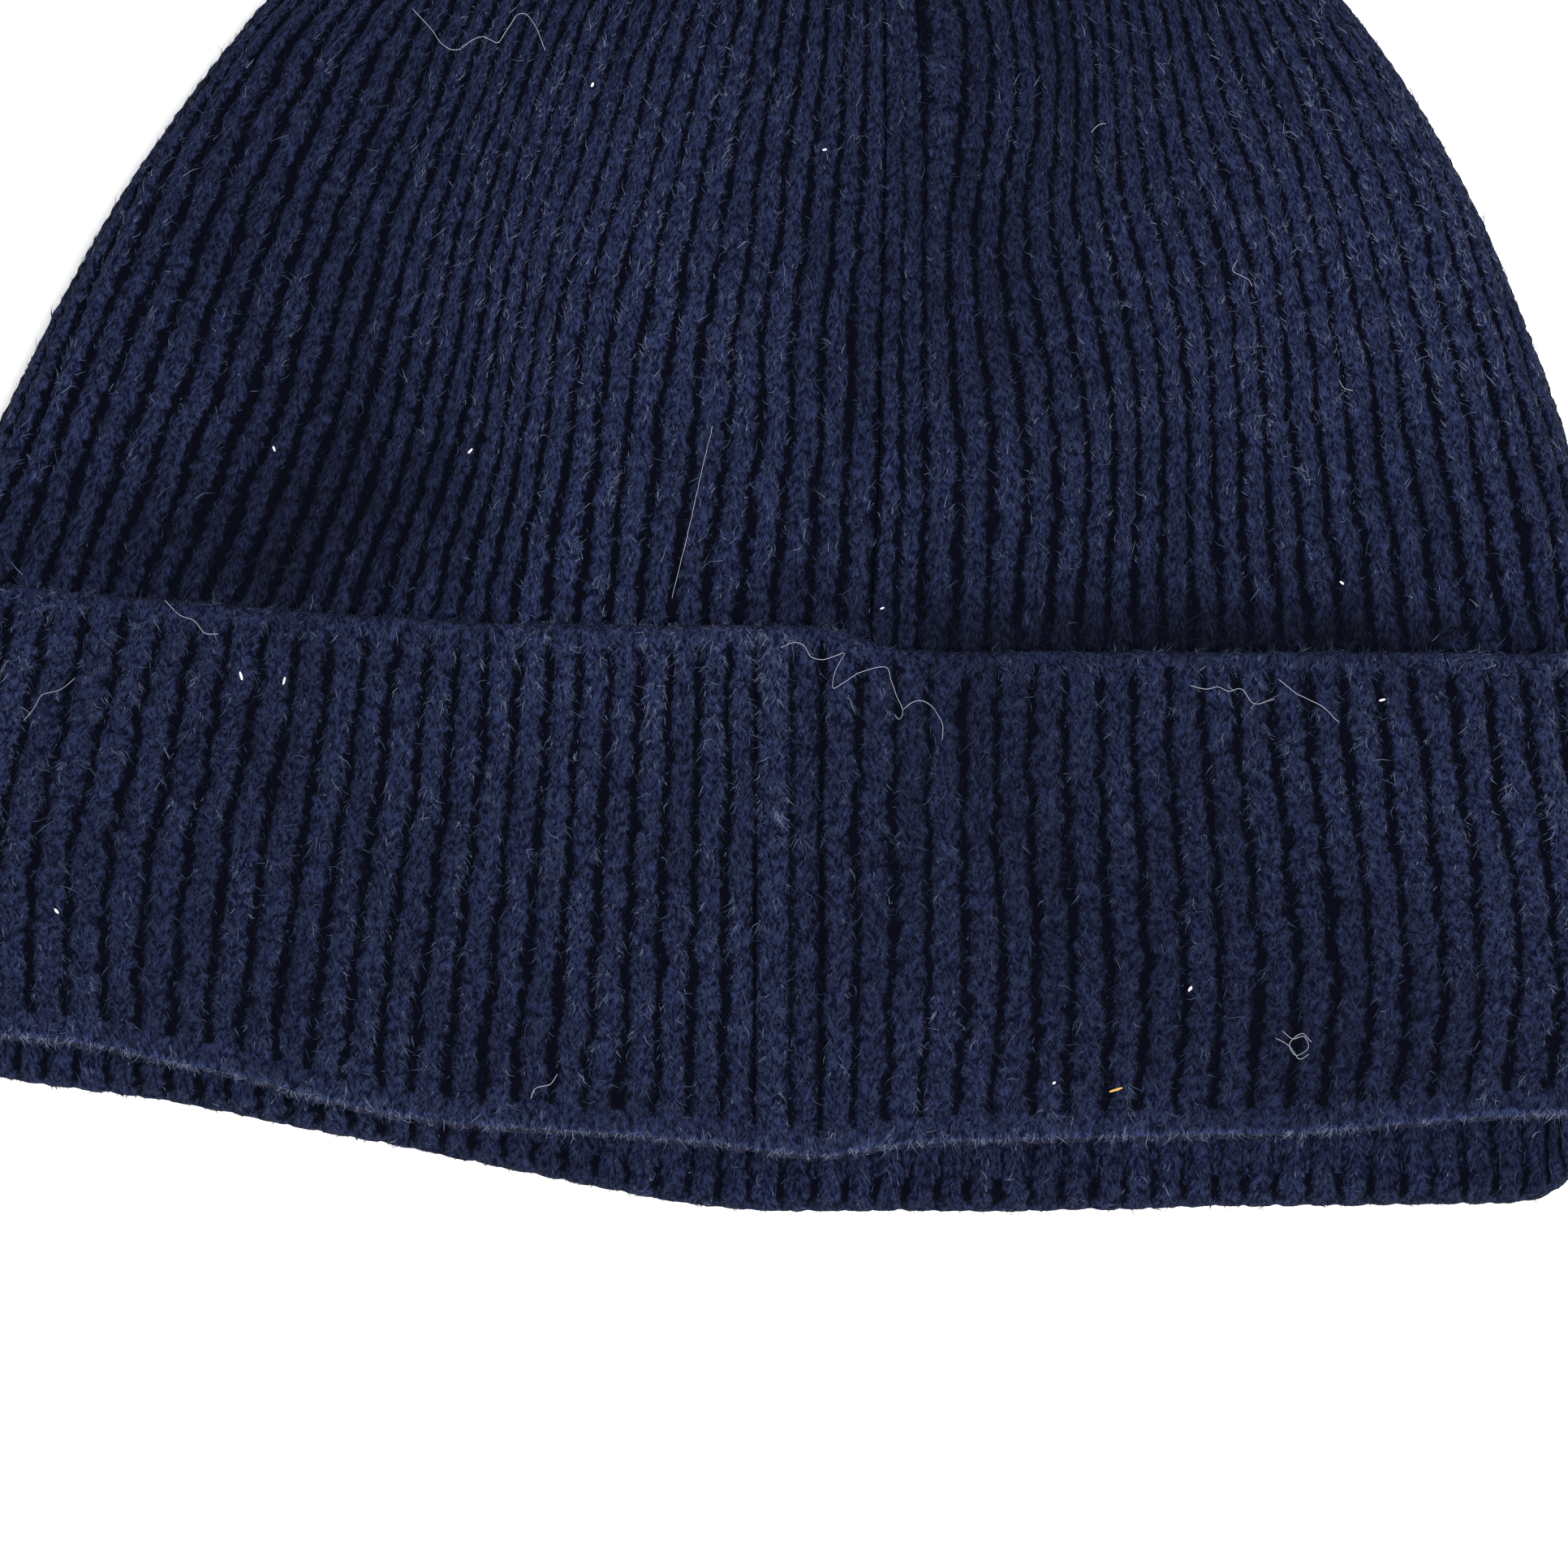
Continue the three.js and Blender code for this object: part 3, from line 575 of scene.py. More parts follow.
class Nodes:
    def __init__(self, name):
        self.mat = bpy.data.materials.new(name)
        self.mat.use_nodes = True
        self.t = self.mat.node_tree
        self.t.nodes.clear()
        self.out = self.t.nodes.new("ShaderNodeOutputMaterial")

    def new(self, kind, **values):
        n = self.t.nodes.new(kind)
        for k, v in values.items():
            setattr(n, k, v)
        return n

    def link(self, a, b):
        self.t.links.new(a, b)

    def put(self, socket, value):
        if hasattr(value, "bl_rna") and hasattr(value, "node"):
            self.link(value, socket)
        else:
            socket.default_value = value

    def math(self, op, a, b=0.0, c=None, clamp=False):
        n = self.new("ShaderNodeMath", operation=op, use_clamp=clamp)
        self.put(n.inputs[0], a)
        self.put(n.inputs[1], b)
        if c is not None:
            self.put(n.inputs[2], c)
        return n.outputs[0]

    def mix(self, factor, a, b, blend="MIX"):
        n = self.new("ShaderNodeMix", data_type="RGBA", blend_type=blend)
        self.put(n.inputs["Factor"], factor)
        self.put(n.inputs[6], a)
        self.put(n.inputs[7], b)
        return n.outputs[2]

    def ramp(self, value, lo, hi):
        n = self.new("ShaderNodeMapRange", interpolation_type="SMOOTHSTEP")
        self.put(n.inputs["Value"], value)
        n.inputs["From Min"].default_value = lo
        n.inputs["From Max"].default_value = hi
        return n.outputs[0]

    def noise(self, vector, scale, detail=2.0, rough=0.5):
        n = self.new("ShaderNodeTexNoise")
        self.put(n.inputs["Vector"], vector)
        n.inputs["Scale"].default_value = scale
        n.inputs["Detail"].default_value = detail
        n.inputs["Roughness"].default_value = rough
        return n.outputs[0]


def knit_material(name, light, dark, shade=1.0):
    """Soft brushed yarn: matte tufts that lean with the two legs of every stitch, with painted shade between the tufts
    and at the foot of the grooves.
    """
    m = Nodes(name)
    uv = m.new("ShaderNodeUVMap", uv_map="knit").outputs[0]
    split = m.new("ShaderNodeSeparateXYZ")
    m.link(uv, split.inputs[0])
    u, v = split.outputs[0], split.outputs[1]
    place = m.math("FRACT", m.math("DIVIDE", u, PITCH))
    side = m.math("MULTIPLY_ADD", m.math("GREATER_THAN", place, 0.5), 2.0, -1.0)
    lean = math.radians(24)
    across = m.math("MULTIPLY_ADD", m.math("MULTIPLY", side, v), math.sin(lean), m.math("MULTIPLY", u, math.cos(lean)))
    along = m.math("SUBTRACT", m.math("MULTIPLY", v, math.cos(lean)), m.math("MULTIPLY", m.math("MULTIPLY", side, u), math.sin(lean)))

    def field(sx, sy, at=(0.0, 0.0)):
        n = m.new("ShaderNodeCombineXYZ")
        m.link(m.math("MULTIPLY_ADD", across, sx, at[0]), n.inputs[0])
        m.link(m.math("MULTIPLY_ADD", along, sy, at[1]), n.inputs[1])
        return n.outputs[0]

    groove_shade = m.new("ShaderNodeAttribute", attribute_name="groove_shade").outputs["Fac"]
    tone_and_shade = m.new("ShaderNodeAttribute", attribute_name="tone_and_shade").outputs["Fac"]
    tuft = m.noise(field(1.35, 0.62), 1.0, 1.0, 0.5)
    nap = m.noise(field(2.9, 1.15, (31, 7)), 1.0, 1.5, 0.6)
    fine = m.noise(field(5.6, 2.0, (3, 55)), 1.0, 1.0, 0.5)
    patch = m.noise(field(0.36, 0.30, (9, 21)), 1.0, 1.0, 0.5)
    mixed = m.math("MULTIPLY", tuft, 0.34)
    mixed = m.math("MULTIPLY_ADD", nap, 0.42, mixed)
    mixed = m.math("MULTIPLY_ADD", fine, 0.24, mixed)
    # the tufts' noise mixes a lit yarn colour with a near-black one: partly the yarn's own speckle, partly painted
    # shade between the tufts
    lit = m.ramp(mixed, 0.40, 0.64)
    base = m.mix(lit, dark, light)
    base = m.mix(m.math("MULTIPLY", m.ramp(patch, 0.46, 0.66), 0.5), base, m.mix(lit, rgb(7, 9, 32), rgb(38, 45, 78)))
    # painted light and shade: the per-point tone scales the colour's brightness, on top of random tone
    strength = m.math("MAXIMUM", m.math("MULTIPLY_ADD", tone_and_shade, 0.24, 1.0 * shade), 0.25)
    scaled = m.new("ShaderNodeVectorMath", operation="SCALE")
    m.link(base, scaled.inputs[0])
    m.put(scaled.inputs["Scale"], strength)
    # painted shade at the foot of each groove: near-black where the groove value is high, with tufts breaking its edges
    ragged = m.math("MULTIPLY_ADD", m.math("SUBTRACT", 0.5, mixed), 1.5, groove_shade)
    shown = m.mix(m.ramp(ragged, 0.20, 0.70), scaled.outputs[0], rgb(1, 2, 11))
    shader = m.new("ShaderNodeBsdfPrincipled")
    m.link(shown, shader.inputs["Base Color"])
    shader.inputs["Roughness"].default_value = 0.95
    shader.inputs["Specular IOR Level"].default_value = 0.05
    shader.inputs["Sheen Weight"].default_value = 0.02
    shader.inputs["Sheen Roughness"].default_value = 0.6
    shader.inputs["Sheen Tint"].default_value = rgb(120, 132, 170)
    bump = m.new("ShaderNodeBump")
    bump.inputs["Strength"].default_value = 1.0
    bump.inputs["Distance"].default_value = 0.0006
    m.link(mixed, bump.inputs["Height"])
    m.link(bump.outputs[0], shader.inputs["Normal"])
    m.link(shader.outputs[0], m.out.inputs[0])
    return m.mat


def plain_material(name, color, rough=0.9, sheen=0.0):
    m = Nodes(name)
    shader = m.new("ShaderNodeBsdfPrincipled")
    shader.inputs["Base Color"].default_value = color
    shader.inputs["Roughness"].default_value = rough
    shader.inputs["Specular IOR Level"].default_value = 0.2
    shader.inputs["Sheen Weight"].default_value = sheen
    m.link(shader.outputs[0], m.out.inputs[0])
    return m.mat


PITCH = 4.1
# the yarn's lit colour and the near-black of the shaded gaps between tufts, partly painted shade
LIGHT = rgb(31, 38, 62)
DARK = rgb(2, 4, 19)
BODY_KNIT = knit_material("knit_body", LIGHT, DARK)
CUFF_KNIT = knit_material("knit_cuff", LIGHT, DARK)
SEAM_KNIT = knit_material("knit_seam", LIGHT, DARK)

# ------------------------------------------------------------------ the tube
COARSE = 1.0


def tube_rows(dense, hidden=2.5, top=128.4):
    """y of the rows above the cuff's edge, closer where the outline turns in."""
    y = [-3.0]
    while y[-1] < top:
        dw = abs(float(tube_w(y[-1] + 0.5)) - float(tube_w(y[-1]))) / 0.5
        y.append(y[-1] + dense / max(1.0, 0.55 * math.hypot(1, dw)))
    y[-1] = top
    return np.array(y)


def body_depth(x, y):
    """Depth of the grooves on the back: deep by the cuff, shallow where the fabric is stretched."""
    d = 1.08 + 0.30 * step(46, 6, y)
    d = d + 0.24 * np.exp(-(((x + 68) / 30) ** 2) - (((y - 34) / 44) ** 2))
    d = d - 0.34 * np.exp(-(((x + 22) / 17) ** 2) - (((y - 56) / 24) ** 2))
    d = d - 0.26 * np.exp(-(((x - 74) / 22) ** 2) - (((y - 62) / 26) ** 2))
    d = d - 0.18 * np.exp(-(((x - 30) / 30) ** 2) - (((y - 74) / 20) ** 2))
    return np.clip(d, 0.5, 1.6)


def body_gap(x, y):
    g = 0.155 + 0.05 * step(40, 4, y)
    g = g + 0.06 * np.exp(-(((x + 66) / 26) ** 2) - (((y - 36) / 40) ** 2))
    g = g - 0.07 * np.exp(-(((x + 22) / 17) ** 2) - (((y - 56) / 24) ** 2))
    g = g - 0.06 * np.exp(-(((x - 74) / 24) ** 2) - (((y - 62) / 26) ** 2))
    return g


def tube_knit(phi, q, y, depth, gap, seed, lumps=1.0):
    """The ribs of the tube, which join in pairs towards the crown."""
    T = y / 2.18 + 0.22 * noise(q / 31.0, y / 37.0, 90) + 0.3 * noise(q / 90.0, 0 * y, 91)
    pitch = 4.1 * tube_w(y) / 108.0
    down, groove = knit(phi, T, depth, gap, lumps, seed)
    near = step(92, 104, y)
    if np.any(near > 0):
        d2, g2 = knit(phi / 2.0, T, depth * 1.15, gap * 0.8, lumps, seed + 40, mm=5.0)
        down, groove = down * (1 - near) + d2 * near, groove * (1 - near) + g2 * near
    far = step(113, 123, y)
    if np.any(far > 0):
        d4, g4 = knit(phi / 4.0, T, depth * 1.25, gap * 0.7, lumps, seed + 60, mm=6.0)
        down, groove = down * (1 - far) + d4 * far, groove * (1 - far) + g4 * far
    return down, groove, T


def tube_end(q, upper):
    """y of the tube's end inside the mouth, where the turn of the cuff begins."""
    w = tube_w(np.full(np.shape(q), -60.0))
    x = np.clip(q, -w, w)
    fold = fold_up(x) if upper else fold_down(x)
    return fold + 3.3 + 0.12


def tube_panel(name, side, columns, dense):
    upper = side != 0
    y_vis = tube_rows(dense)
    hid = np.linspace(0, 1, 24)[:-1]
    inner = np.concatenate([np.linspace(126.5, 60, 22), np.linspace(56, -3, 22), np.linspace(-6, -52, 18)])
    s = np.linspace(0, 1, columns)
    n_out = len(hid) + len(y_vis)
    R = n_out + len(inner) + 1
    Y = np.zeros((R, columns))
    Y[len(hid) : n_out] = y_vis[:, None]
    Y[n_out : n_out + len(inner)] = inner[:, None]
    D = np.zeros((R, columns))
    D[n_out:] = LAYER

    def q_of(y):
        reach = tube_reach(y)
        if side < 0:
            return -reach + s * (reach + body_seam_mid(y) - body_seam_half(y))
        if side > 0:
            edge = body_seam_mid(y) + body_seam_half(y)
            return edge + s * (reach - edge)
        # near the crown the front runs a little past the side folds, under the back
        reach = reach + 0.5 * step(104, 114, y)
        return -reach + 2 * reach * s

    q_end = q_of(np.full(columns, -60.0))
    y_end = tube_end(q_end, upper)
    for i, t in enumerate(hid):
        Y[i] = y_end + (-3.0 - y_end) * t
    Y[-1] = y_end + 0.35
    Q = np.stack([q_of(Y[i]) for i in range(R)])
    x = tube_cx(Y) + Q
    if side:
        phi_b = body_phase(Q, np.maximum(Y, -3), side)
        phi_c = cuff_phase(Q, Y, side)
    else:
        reach = tube_reach(Y)
        phi_b = front_phase(Q, np.maximum(Y, -3), body_phase, reach)
        phi_c = front_phase(Q, Y, cuff_phase, reach)
    w = step(-50, -12, Y)
    phi = phi_c + (phi_b - phi_c) * w
    depth = body_depth(x, Y) if side else 0.95 + 0.2 * step(46, 6, Y)
    gap = body_gap(x, Y) if side else 0.27 + 0 * Y
    depth = depth * (1 - 0.45 * step(118, 128, Y))
    near_end = step(13.0, 7.0, Y - y_end) * (D < 1)
    depth = depth * (1 - 0.78 * near_end)
    down, groove, T = tube_knit(phi, Q, Y, depth, gap, 100)
    down = down - 0.28 * near_end
    # at the seam's edge the skin rolls down into a shallow line
    if side:
        edge = body_seam_mid(Y) + side * body_seam_half(Y)
        roll = np.exp(-(((Q - edge) / 0.45) ** 2))
        down = down + 0.22 * roll * (D < 1)
    # the inside shows the same ribs, softer
    under = D > 1
    down = np.where(under, -0.62 * down, down)
    d = D + down
    lip = 1 - step(10.5, 13.0, Y - y_end)
    d = np.where(under, d - 0.75 * lip, d)
    d[-1] = LAYER - 1.0
    P = tube_point(Q, Y, d, upper)
    tone_and_shade = tones(phi, T, 100)
    if side:
        # painted light and shade from the soft map's tone column, over random tone
        tone_and_shade = tone_and_shade + soft_map(BODY_SOFT, x, Y, 5)
    # painted shade in the grooves, weaker on the inside
    groove_shade = np.where(under, 0.7 * groove, groove)
    uv = np.stack([(phi + 80.0) * PITCH, T * 2.18 + 200.0], -1)
    obj = sweep_mesh(name, P, n_out, uv, groove_shade, tone_and_shade, material=BODY_KNIT)
    return obj, P[:n_out], (groove[:n_out], phi[:n_out], tone_and_shade[:n_out]), (len(hid), n_out)


left_cols = int(292 / COARSE)
right_cols = int(232 / COARSE)
body_left, BL, BLg, BLr = tube_panel("knit_back_left", -1, left_cols, 0.47 * COARSE)
body_right, BR, BRg, BRr = tube_panel("knit_back_right", 1, right_cols, 0.47 * COARSE)
body_front, BF, BFg, BFr = tube_panel("knit_front", 0, int(390 / COARSE), 0.85 * COARSE)


def body_seam_piece():
    y_vis = tube_rows(0.47 * COARSE)
    columns = 19
    s = np.linspace(0, 1, columns)
    hid = np.linspace(0, 1, 24)[:-1]
    inner = np.concatenate([np.linspace(126.5, -3, 50), np.linspace(-6, -50, 16)])
    n_out = len(hid) + len(y_vis)
    R = n_out + len(inner)
    Y = np.zeros((R, columns))
    Y[len(hid) : n_out] = y_vis[:, None]
    Y[n_out:] = inner[:, None]
    end = float(tube_end(np.array([8.0]), True)[0]) + 0.2
    for i, t in enumerate(hid):
        Y[i] = end + (-3.0 - end) * t
    Q = body_seam_mid(Y) + (2 * s - 1) * body_seam_half(Y)
    T = Y / 2.18 + 0.22 * noise(Q / 31.0, Y / 37.0, 90)
    down, groove = knit(2 * s[None, :] + 0 * Y + 40, T + 0.3, 0.70, 0.20, 1.0, 170)
    calm = 1 - 0.45 * step(30, 80, Y)
    down, groove = down * calm, groove * calm
    fade = 1 - 0.5 * step(118, 128, Y)
    d = np.where(np.arange(R)[:, None] < n_out, down * fade, 0)
    # inside, the two selvedges stand up as a soft ridge
    ridge = LAYER + 1.5 * np.sin(np.pi * s)[None, :] ** 0.6 * (0.9 + 0.15 * noise(Y * 0 + s * 4, Y / 1.9, 180))
    d = np.where(np.arange(R)[:, None] < n_out, d, ridge)
    P = tube_point(Q, Y, d, True)
    # random tone plus painted light and shade from the soft map
    tone_and_shade = tones(2 * s + 0 * Y, T, 170) + soft_map(BODY_SOFT, tube_cx(Y) + Q, Y, 5)
    # painted groove shade, weaker on the inner ridge
    groove_shade = np.where(np.arange(R)[:, None] < n_out, groove, 0.35 * groove)
    uv = np.stack([(2 * s[None, :] + 0 * Y + 200.0) * PITCH * 0.7, T * 2.18 + 200.0], -1)
    obj = sweep_mesh("knit_back_seam", P, n_out, uv, groove_shade, tone_and_shade, material=SEAM_KNIT)
    return obj, P[:n_out], (groove[:n_out], (2 * s[None, :] + 0 * Y)[:n_out], tone_and_shade[:n_out])


body_seam, BS, BSg = body_seam_piece()


def gather_piece():
    """The end of the crown: the last ribs drawn together into a small rosette."""
    n = 224
    around = np.linspace(0, 2 * np.pi, n, endpoint=False)
    y0 = 128.4
    w0, lo, hi = float(tube_w(y0)), float(tube_lo(y0)), float(tube_hi(y0))
    h0, zc = (hi - lo) / 2, (hi + lo) / 2
    cx = float(tube_cx(y0))
    s_out = np.linspace(0, 1, 34)
    s_in = np.linspace(0.97, 0, 8)
    rows, pucker_shades, tns = [], [], []
    reach = float(tube_reach(y0))
    # the ring's places by length round the section, as the panels have them
    side_q = around / (2 * np.pi) * 4 * reach - reach  # -reach .. 3 reach
    upper = side_q <= reach
    q = np.where(upper, side_q, 2 * reach - side_q)
    for layer, ss in ((0, s_out), (1, s_in)):
        for s in ss:
            k = 1 - s
            shape = k**0.8
            w, h = w0 * shape, h0 * (k**0.62)
            h = min(h, w)
            flat = max(w - h, 0)
            r_q = q / reach * (flat + h * np.pi / 2)
            ang = np.clip((np.abs(r_q) - flat) / max(h, 1e-6), 0, None)
            pucker = np.cos(2 * np.pi * (np.arange(n) / n * 28 + 0.3 * noise(np.arange(n) / 9.0, s * 3 + 0 * around, 7)))
            bite = 0.55 * (0.35 + 0.65 * math.sin(math.pi * min(1, s * 1.05)) ** 0.7)
            inset = bite * (0.5 - 0.5 * pucker) + 0.1 * noise(np.arange(n) / 2.3, s * 16 + 0 * around, 8) + layer * 2.6 * k
            rr = np.maximum(h - inset, 0.12 * k + 0.02)
            x = cx + np.sign(r_q) * (np.minimum(np.abs(r_q), flat) + rr * np.sin(ang)) * (1 - 0.02 * pucker)
            z = zc + np.where(upper, 1, -1) * rr * np.cos(ang)
            rise = 3.9 * (1 - k**1.9) - 1.1 * math.exp(-((k * 20 / 3.2) ** 2))
            y = y0 + rise - layer * 2.6 * s - 0.35 * (1 - pucker) * 0.5 * math.sin(math.pi * s)
            rows.append(np.stack([x, y + TOP_Y + 0 * x, z], -1))
            # painted shade in the folds between the puckers, weaker on the inner layer
            pucker_shades.append((0.5 - 0.5 * pucker) * (0.75 if layer == 0 else 0.3))
            tns.append(0.3 * noise(np.arange(n) / 8.0, s * 6 + 0 * around, 9))
    # its first ring starts inside the ends of the panels
    tuck = rows[0].copy()
    y1 = y0 - 1.2
    tuck[:, 0] = cx + (tuck[:, 0] - cx) * (float(tube_w(y1)) - 1.6) / w0
    tuck[:, 1] -= 1.2
    tuck[:, 2] = zc + (tuck[:, 2] - zc) * ((float(tube_hi(y1)) - float(tube_lo(y1))) / 2 - 1.3) / h0
    rows.insert(0, tuck)
    pucker_shades.insert(0, pucker_shades[0])
    tns.insert(0, tns[0])
    P = np.array(rows)
    uv = np.stack([np.broadcast_to(side_q, P.shape[:2]) + 300, P[..., 1] - TOP_Y], -1)
    return sweep_mesh("crown_rosette", P, len(s_out) + 1, uv, np.array(pucker_shades), np.array(tns), wrap=True, material=SEAM_KNIT), P


gather, GP = gather_piece()

# ------------------------------------------------------------------ the cuff
TIP = 1.5


LIP = 9.0


def cuff_path(dense, dense_turn, plain=None, welt_in=4.0, leg=0.9):
    """Rows of the cuff's skin as (kind, share): inside the welt, its tip, the face,
    the turn at the mouth, the leg up to the tube."""
    rows = []
    for t in np.linspace(0, 1, max(3, int(welt_in / (dense * 1.6))))[:-1]:
        rows.append(("in", t))
    for t in np.linspace(0, 1, max(6, int(np.pi * TIP / dense)))[:-1]:
        rows.append(("tip", t))
    if plain is None:
        face = np.linspace(0, 1, int(60 / dense))
    else:
        far = np.linspace(0, 0.78, int(47 / plain), endpoint=False)
        face = np.concatenate([far, np.linspace(0.78, 1, int(13 / dense))])
    for t in face[:-1]:
        rows.append(("face", t))
    for t in np.linspace(0, 1, max(10, int(np.pi * 3.15 / dense_turn)))[:-1]:
        rows.append(("turn", t))
    for t in np.linspace(0, 1, int(LIP / leg)):
        rows.append(("leg", t))
    n_out = len(rows)
    for t in np.linspace(1, 0, 7):
        rows.append(("lip_back", t))
    for t in np.linspace(0, 1, 7):
        rows.append(("back_leg", t))
    for t in np.linspace(0, 1, 22):
        rows.append(("back", t))
    return rows, n_out


def cuff_panel(name, side, columns, rows, n_out, material=None, seam=False, s_list=None):
    upper = side != 0 or seam
    R = len(rows)
    s = np.linspace(0, 1, columns) if s_list is None else s_list
    columns = len(s)
    kinds = np.array([k for k, _ in rows])
    share = np.array([t for _, t in rows])

    def q_of(y):
        if seam:
            a, b = cuff_seam_left(y), cuff_seam_right(y)
            return a + s * (b - a)
        if side < 0:
            return -CUFF_REACH + s * (CUFF_REACH + cuff_seam_left(y))
        if side > 0:
            a = cuff_seam_right(y)
            return a + s * (CUFF_REACH - a)
        return -CUFF_REACH + 2 * CUFF_REACH * s

    q0 = q_of(np.full(columns, -30.0))
    x0 = np.clip(q0, -CUFF_W, CUFF_W)
    y_top = welt_up(x0) if upper else 1.6 + 0 * x0
    y_fold = fold_up(x0) if upper else fold_down(x0)
    ply = 2 * LAYER + AIR
    rad = ply / 2
    Y = np.zeros((R, columns))
    D = np.zeros((R, columns))
    N_Y = np.zeros((R, columns))  # direction out of the fabric, in y and d
    N_D = np.zeros((R, columns))
    V = np.zeros((R, columns))  # 0 at the free edge, 1 at the mouth, for stitch rows
    length = y_top - y_fold
    for i in range(R):
        k, t = kinds[i], share[i]
        if k == "in":
            Y[i] = y_top - TIP - 4.0 * (1 - t)
            D[i] = LAYER - 0.02
            N_D[i] = 1
            V[i] = -(4.7 + 4.0 * (1 - t)) / 60.0
        elif k == "tip":
            a = math.pi * t
            Y[i] = y_top - TIP + TIP * math.sin(a)
            D[i] = TIP + (TIP - 0.02) * math.cos(a)
            N_Y[i], N_D[i] = math.sin(a), math.cos(a)
            V[i] = -4.7 * (1 - t) / 60.0
        elif k == "face":
            Y[i] = (y_top - TIP) + (y_fold + rad - (y_top - TIP)) * t
            D[i] = 0
            N_D[i] = -1
            V[i] = t
        elif k == "turn":
            a = math.pi * t
            Y[i] = y_fold + rad - rad * math.sin(a)
            D[i] = rad - rad * math.cos(a)
            N_Y[i], N_D[i] = -math.sin(a), -math.cos(a)
            V[i] = 1 + 0.14 * t
        elif k == "leg":
            Y[i] = y_fold + rad + LIP * t
            D[i] = ply - 0.25 * t**4
            N_D[i] = 1
            V[i] = 1.14 + LIP / 62.0 * t
        elif k == "lip_back":
            Y[i] = y_fold + rad + 0.10 + (LIP - 0.12) * t
            D[i] = ply - 0.62
            N_D[i] = 1
            V[i] = 1.14 + LIP / 62.0 * t
        elif k == "back_leg":
            a = math.pi * t
            Y[i] = y_fold + rad + 0.08 - 0.5 * math.sin(a) ** 0.5 * (1 if 0 < t < 1 else 0)
            D[i] = LAYER + AIR - AIR * t
            N_D[i] = 0
            V[i] = 1.0
        else:
            Y[i] = y_fold + rad - 0.2 + (y_top - TIP - 4.3 - (y_fold + rad - 0.2)) * t
            D[i] = LAYER
            N_D[i] = 1
            V[i] = 1 - t
    Q = np.stack([q_of(np.clip(Y[i], -70, 0)) for i in range(R)])
    Yc = np.clip(Y, -72, 3)
    T = V * 29.0 + 0.25 * noise(Q / 27.0, V * 3.0, 190)
    out_rows = np.arange(R)[:, None] < n_out
    if seam:
        u = s[None, :] + 0 * Y
        mm = 8.1 * u
        # a smooth selvedge column, then a lumpier one
        smooth = np.clip(1 - np.abs(mm - 2.2) / 2.25, 0, 1) ** 0.45
        rough_col = 0.86 * np.clip(1 - np.abs(mm - 6.3) / 1.85, 0, 1) ** 0.5
        h = np.maximum(smooth, rough_col)
        lump = 0.10 * noise(mm / 0.9, T * 1.7, 191) * (mm < 4.5) + 0.24 * noise(mm / 1.1, T * 1.5, 192) * (mm >= 4.3)
        lump = lump + 0.05 * noise(mm / 0.5, T * 3.1, 193)
        down = 1.15 * (1 - h) + lump - 0.12
        groove = np.clip(1 - h, 0, 1) * 0.9
        # painted shade: dark specks among the lumps of the rougher column
        groove = np.where(mm > 4.3, np.clip(groove + 0.25 * np.clip(noise(mm / 0.8, T * 1.6, 194), 0, 1), 0, 1), groove)
        phi = 2 * u
        # the smooth column lighter, the lumpy one darker
        tone_and_shade = 0.35 * (mm < 4.4) - 0.25 * (mm > 4.6) + 0.25 * noise(mm / 1.5, T * 0.8, 195)
    else:
        if side:
            phi = cuff_phase(Q, Yc, side)
        else:
            phi = front_phase(Q, Yc, cuff_phase, CUFF_REACH)
        depth = 1.40 + 0.12 * noise(Q / 22.0, Y / 26.0, 196)
        gap = 0.165 + 0.04 * noise(Q / 18.0, Y / 21.0, 197)
        # softer columns right beside the seam
        soft_side = np.exp(-(((Q - 21) / 10.0) ** 2)) if upper else 0 * Q
        depth = depth * (1 - 0.22 * soft_side)
        gap = gap * (1 - 0.35 * soft_side)
        down, groove = knit(phi, T, depth, gap, 1.0, 200)
        tone_and_shade = tones(phi, T, 200)
    if upper:
        # painted light and shade from the soft map's tone column
        tone_and_shade = tone_and_shade + soft_map(CUFF_SOFT, Q, Y, 5)
    # smooth welt along the free edge, smooth narrow band over the turn
    along = y_top - Y
    ribs = 0.16 + 0.84 * step(1.6, 6.2, along + 0.7 * noise(Q / 2.0, 0 * Q, 198))
    ribs = np.where((kinds == "in")[:, None] | (kinds == "tip")[:, None], 0.0, ribs)
    near_turn = 0.45 + 0.55 * step(0.2, 4.5, Y - y_fold - 1.2)
    is_face = (kinds == "face")[:, None]
    is_turn = (kinds == "turn")[:, None]
    ribs = np.where(is_face, ribs * near_turn, ribs)
    t_turn = share[:, None]
    if upper:
        near_turn = 0.35 + 0.65 * step(2.2, 4.4, Y - y_fold)
        ribs = np.where(is_face, (0.20 + 0.80 * step(0.8, 4.6, along + 0.9 * noise(Q / 2.0, 0 * Q, 198))) * near_turn, ribs)
        on_turn = 0.08 + 0.27 * step(0.30, 0.0, t_turn) + 0.80 * step(0.45, 0.75, t_turn)
    else:
        # the lower fold is smooth where it meets the table and ribbed towards the mouth
        on_turn = 0.12 + 0.88 * step(0.42, 0.72, t_turn)
        near_turn = 0.10 + 0.90 * step(1.0, 7.0, Y - y_fold)
        ribs = np.where(is_face, step(2.6, 6.8, along) * near_turn, ribs)
    ribs = np.where(is_turn, on_turn, ribs)
    ribs = np.where((kinds == "leg")[:, None], 0.85, ribs)
    skin = 0.10 * noise(Q / 1.0, T * 1.9, 199) + 0.06 * noise(Q / 0.55, T * 3.3, 201) + 0.08 * noise(Q / 2.6, T * 0.9, 202)
    down = down * ribs + skin * (1 - ribs) * (1 if seam else 1)
    groove = groove * ribs
    if not upper:
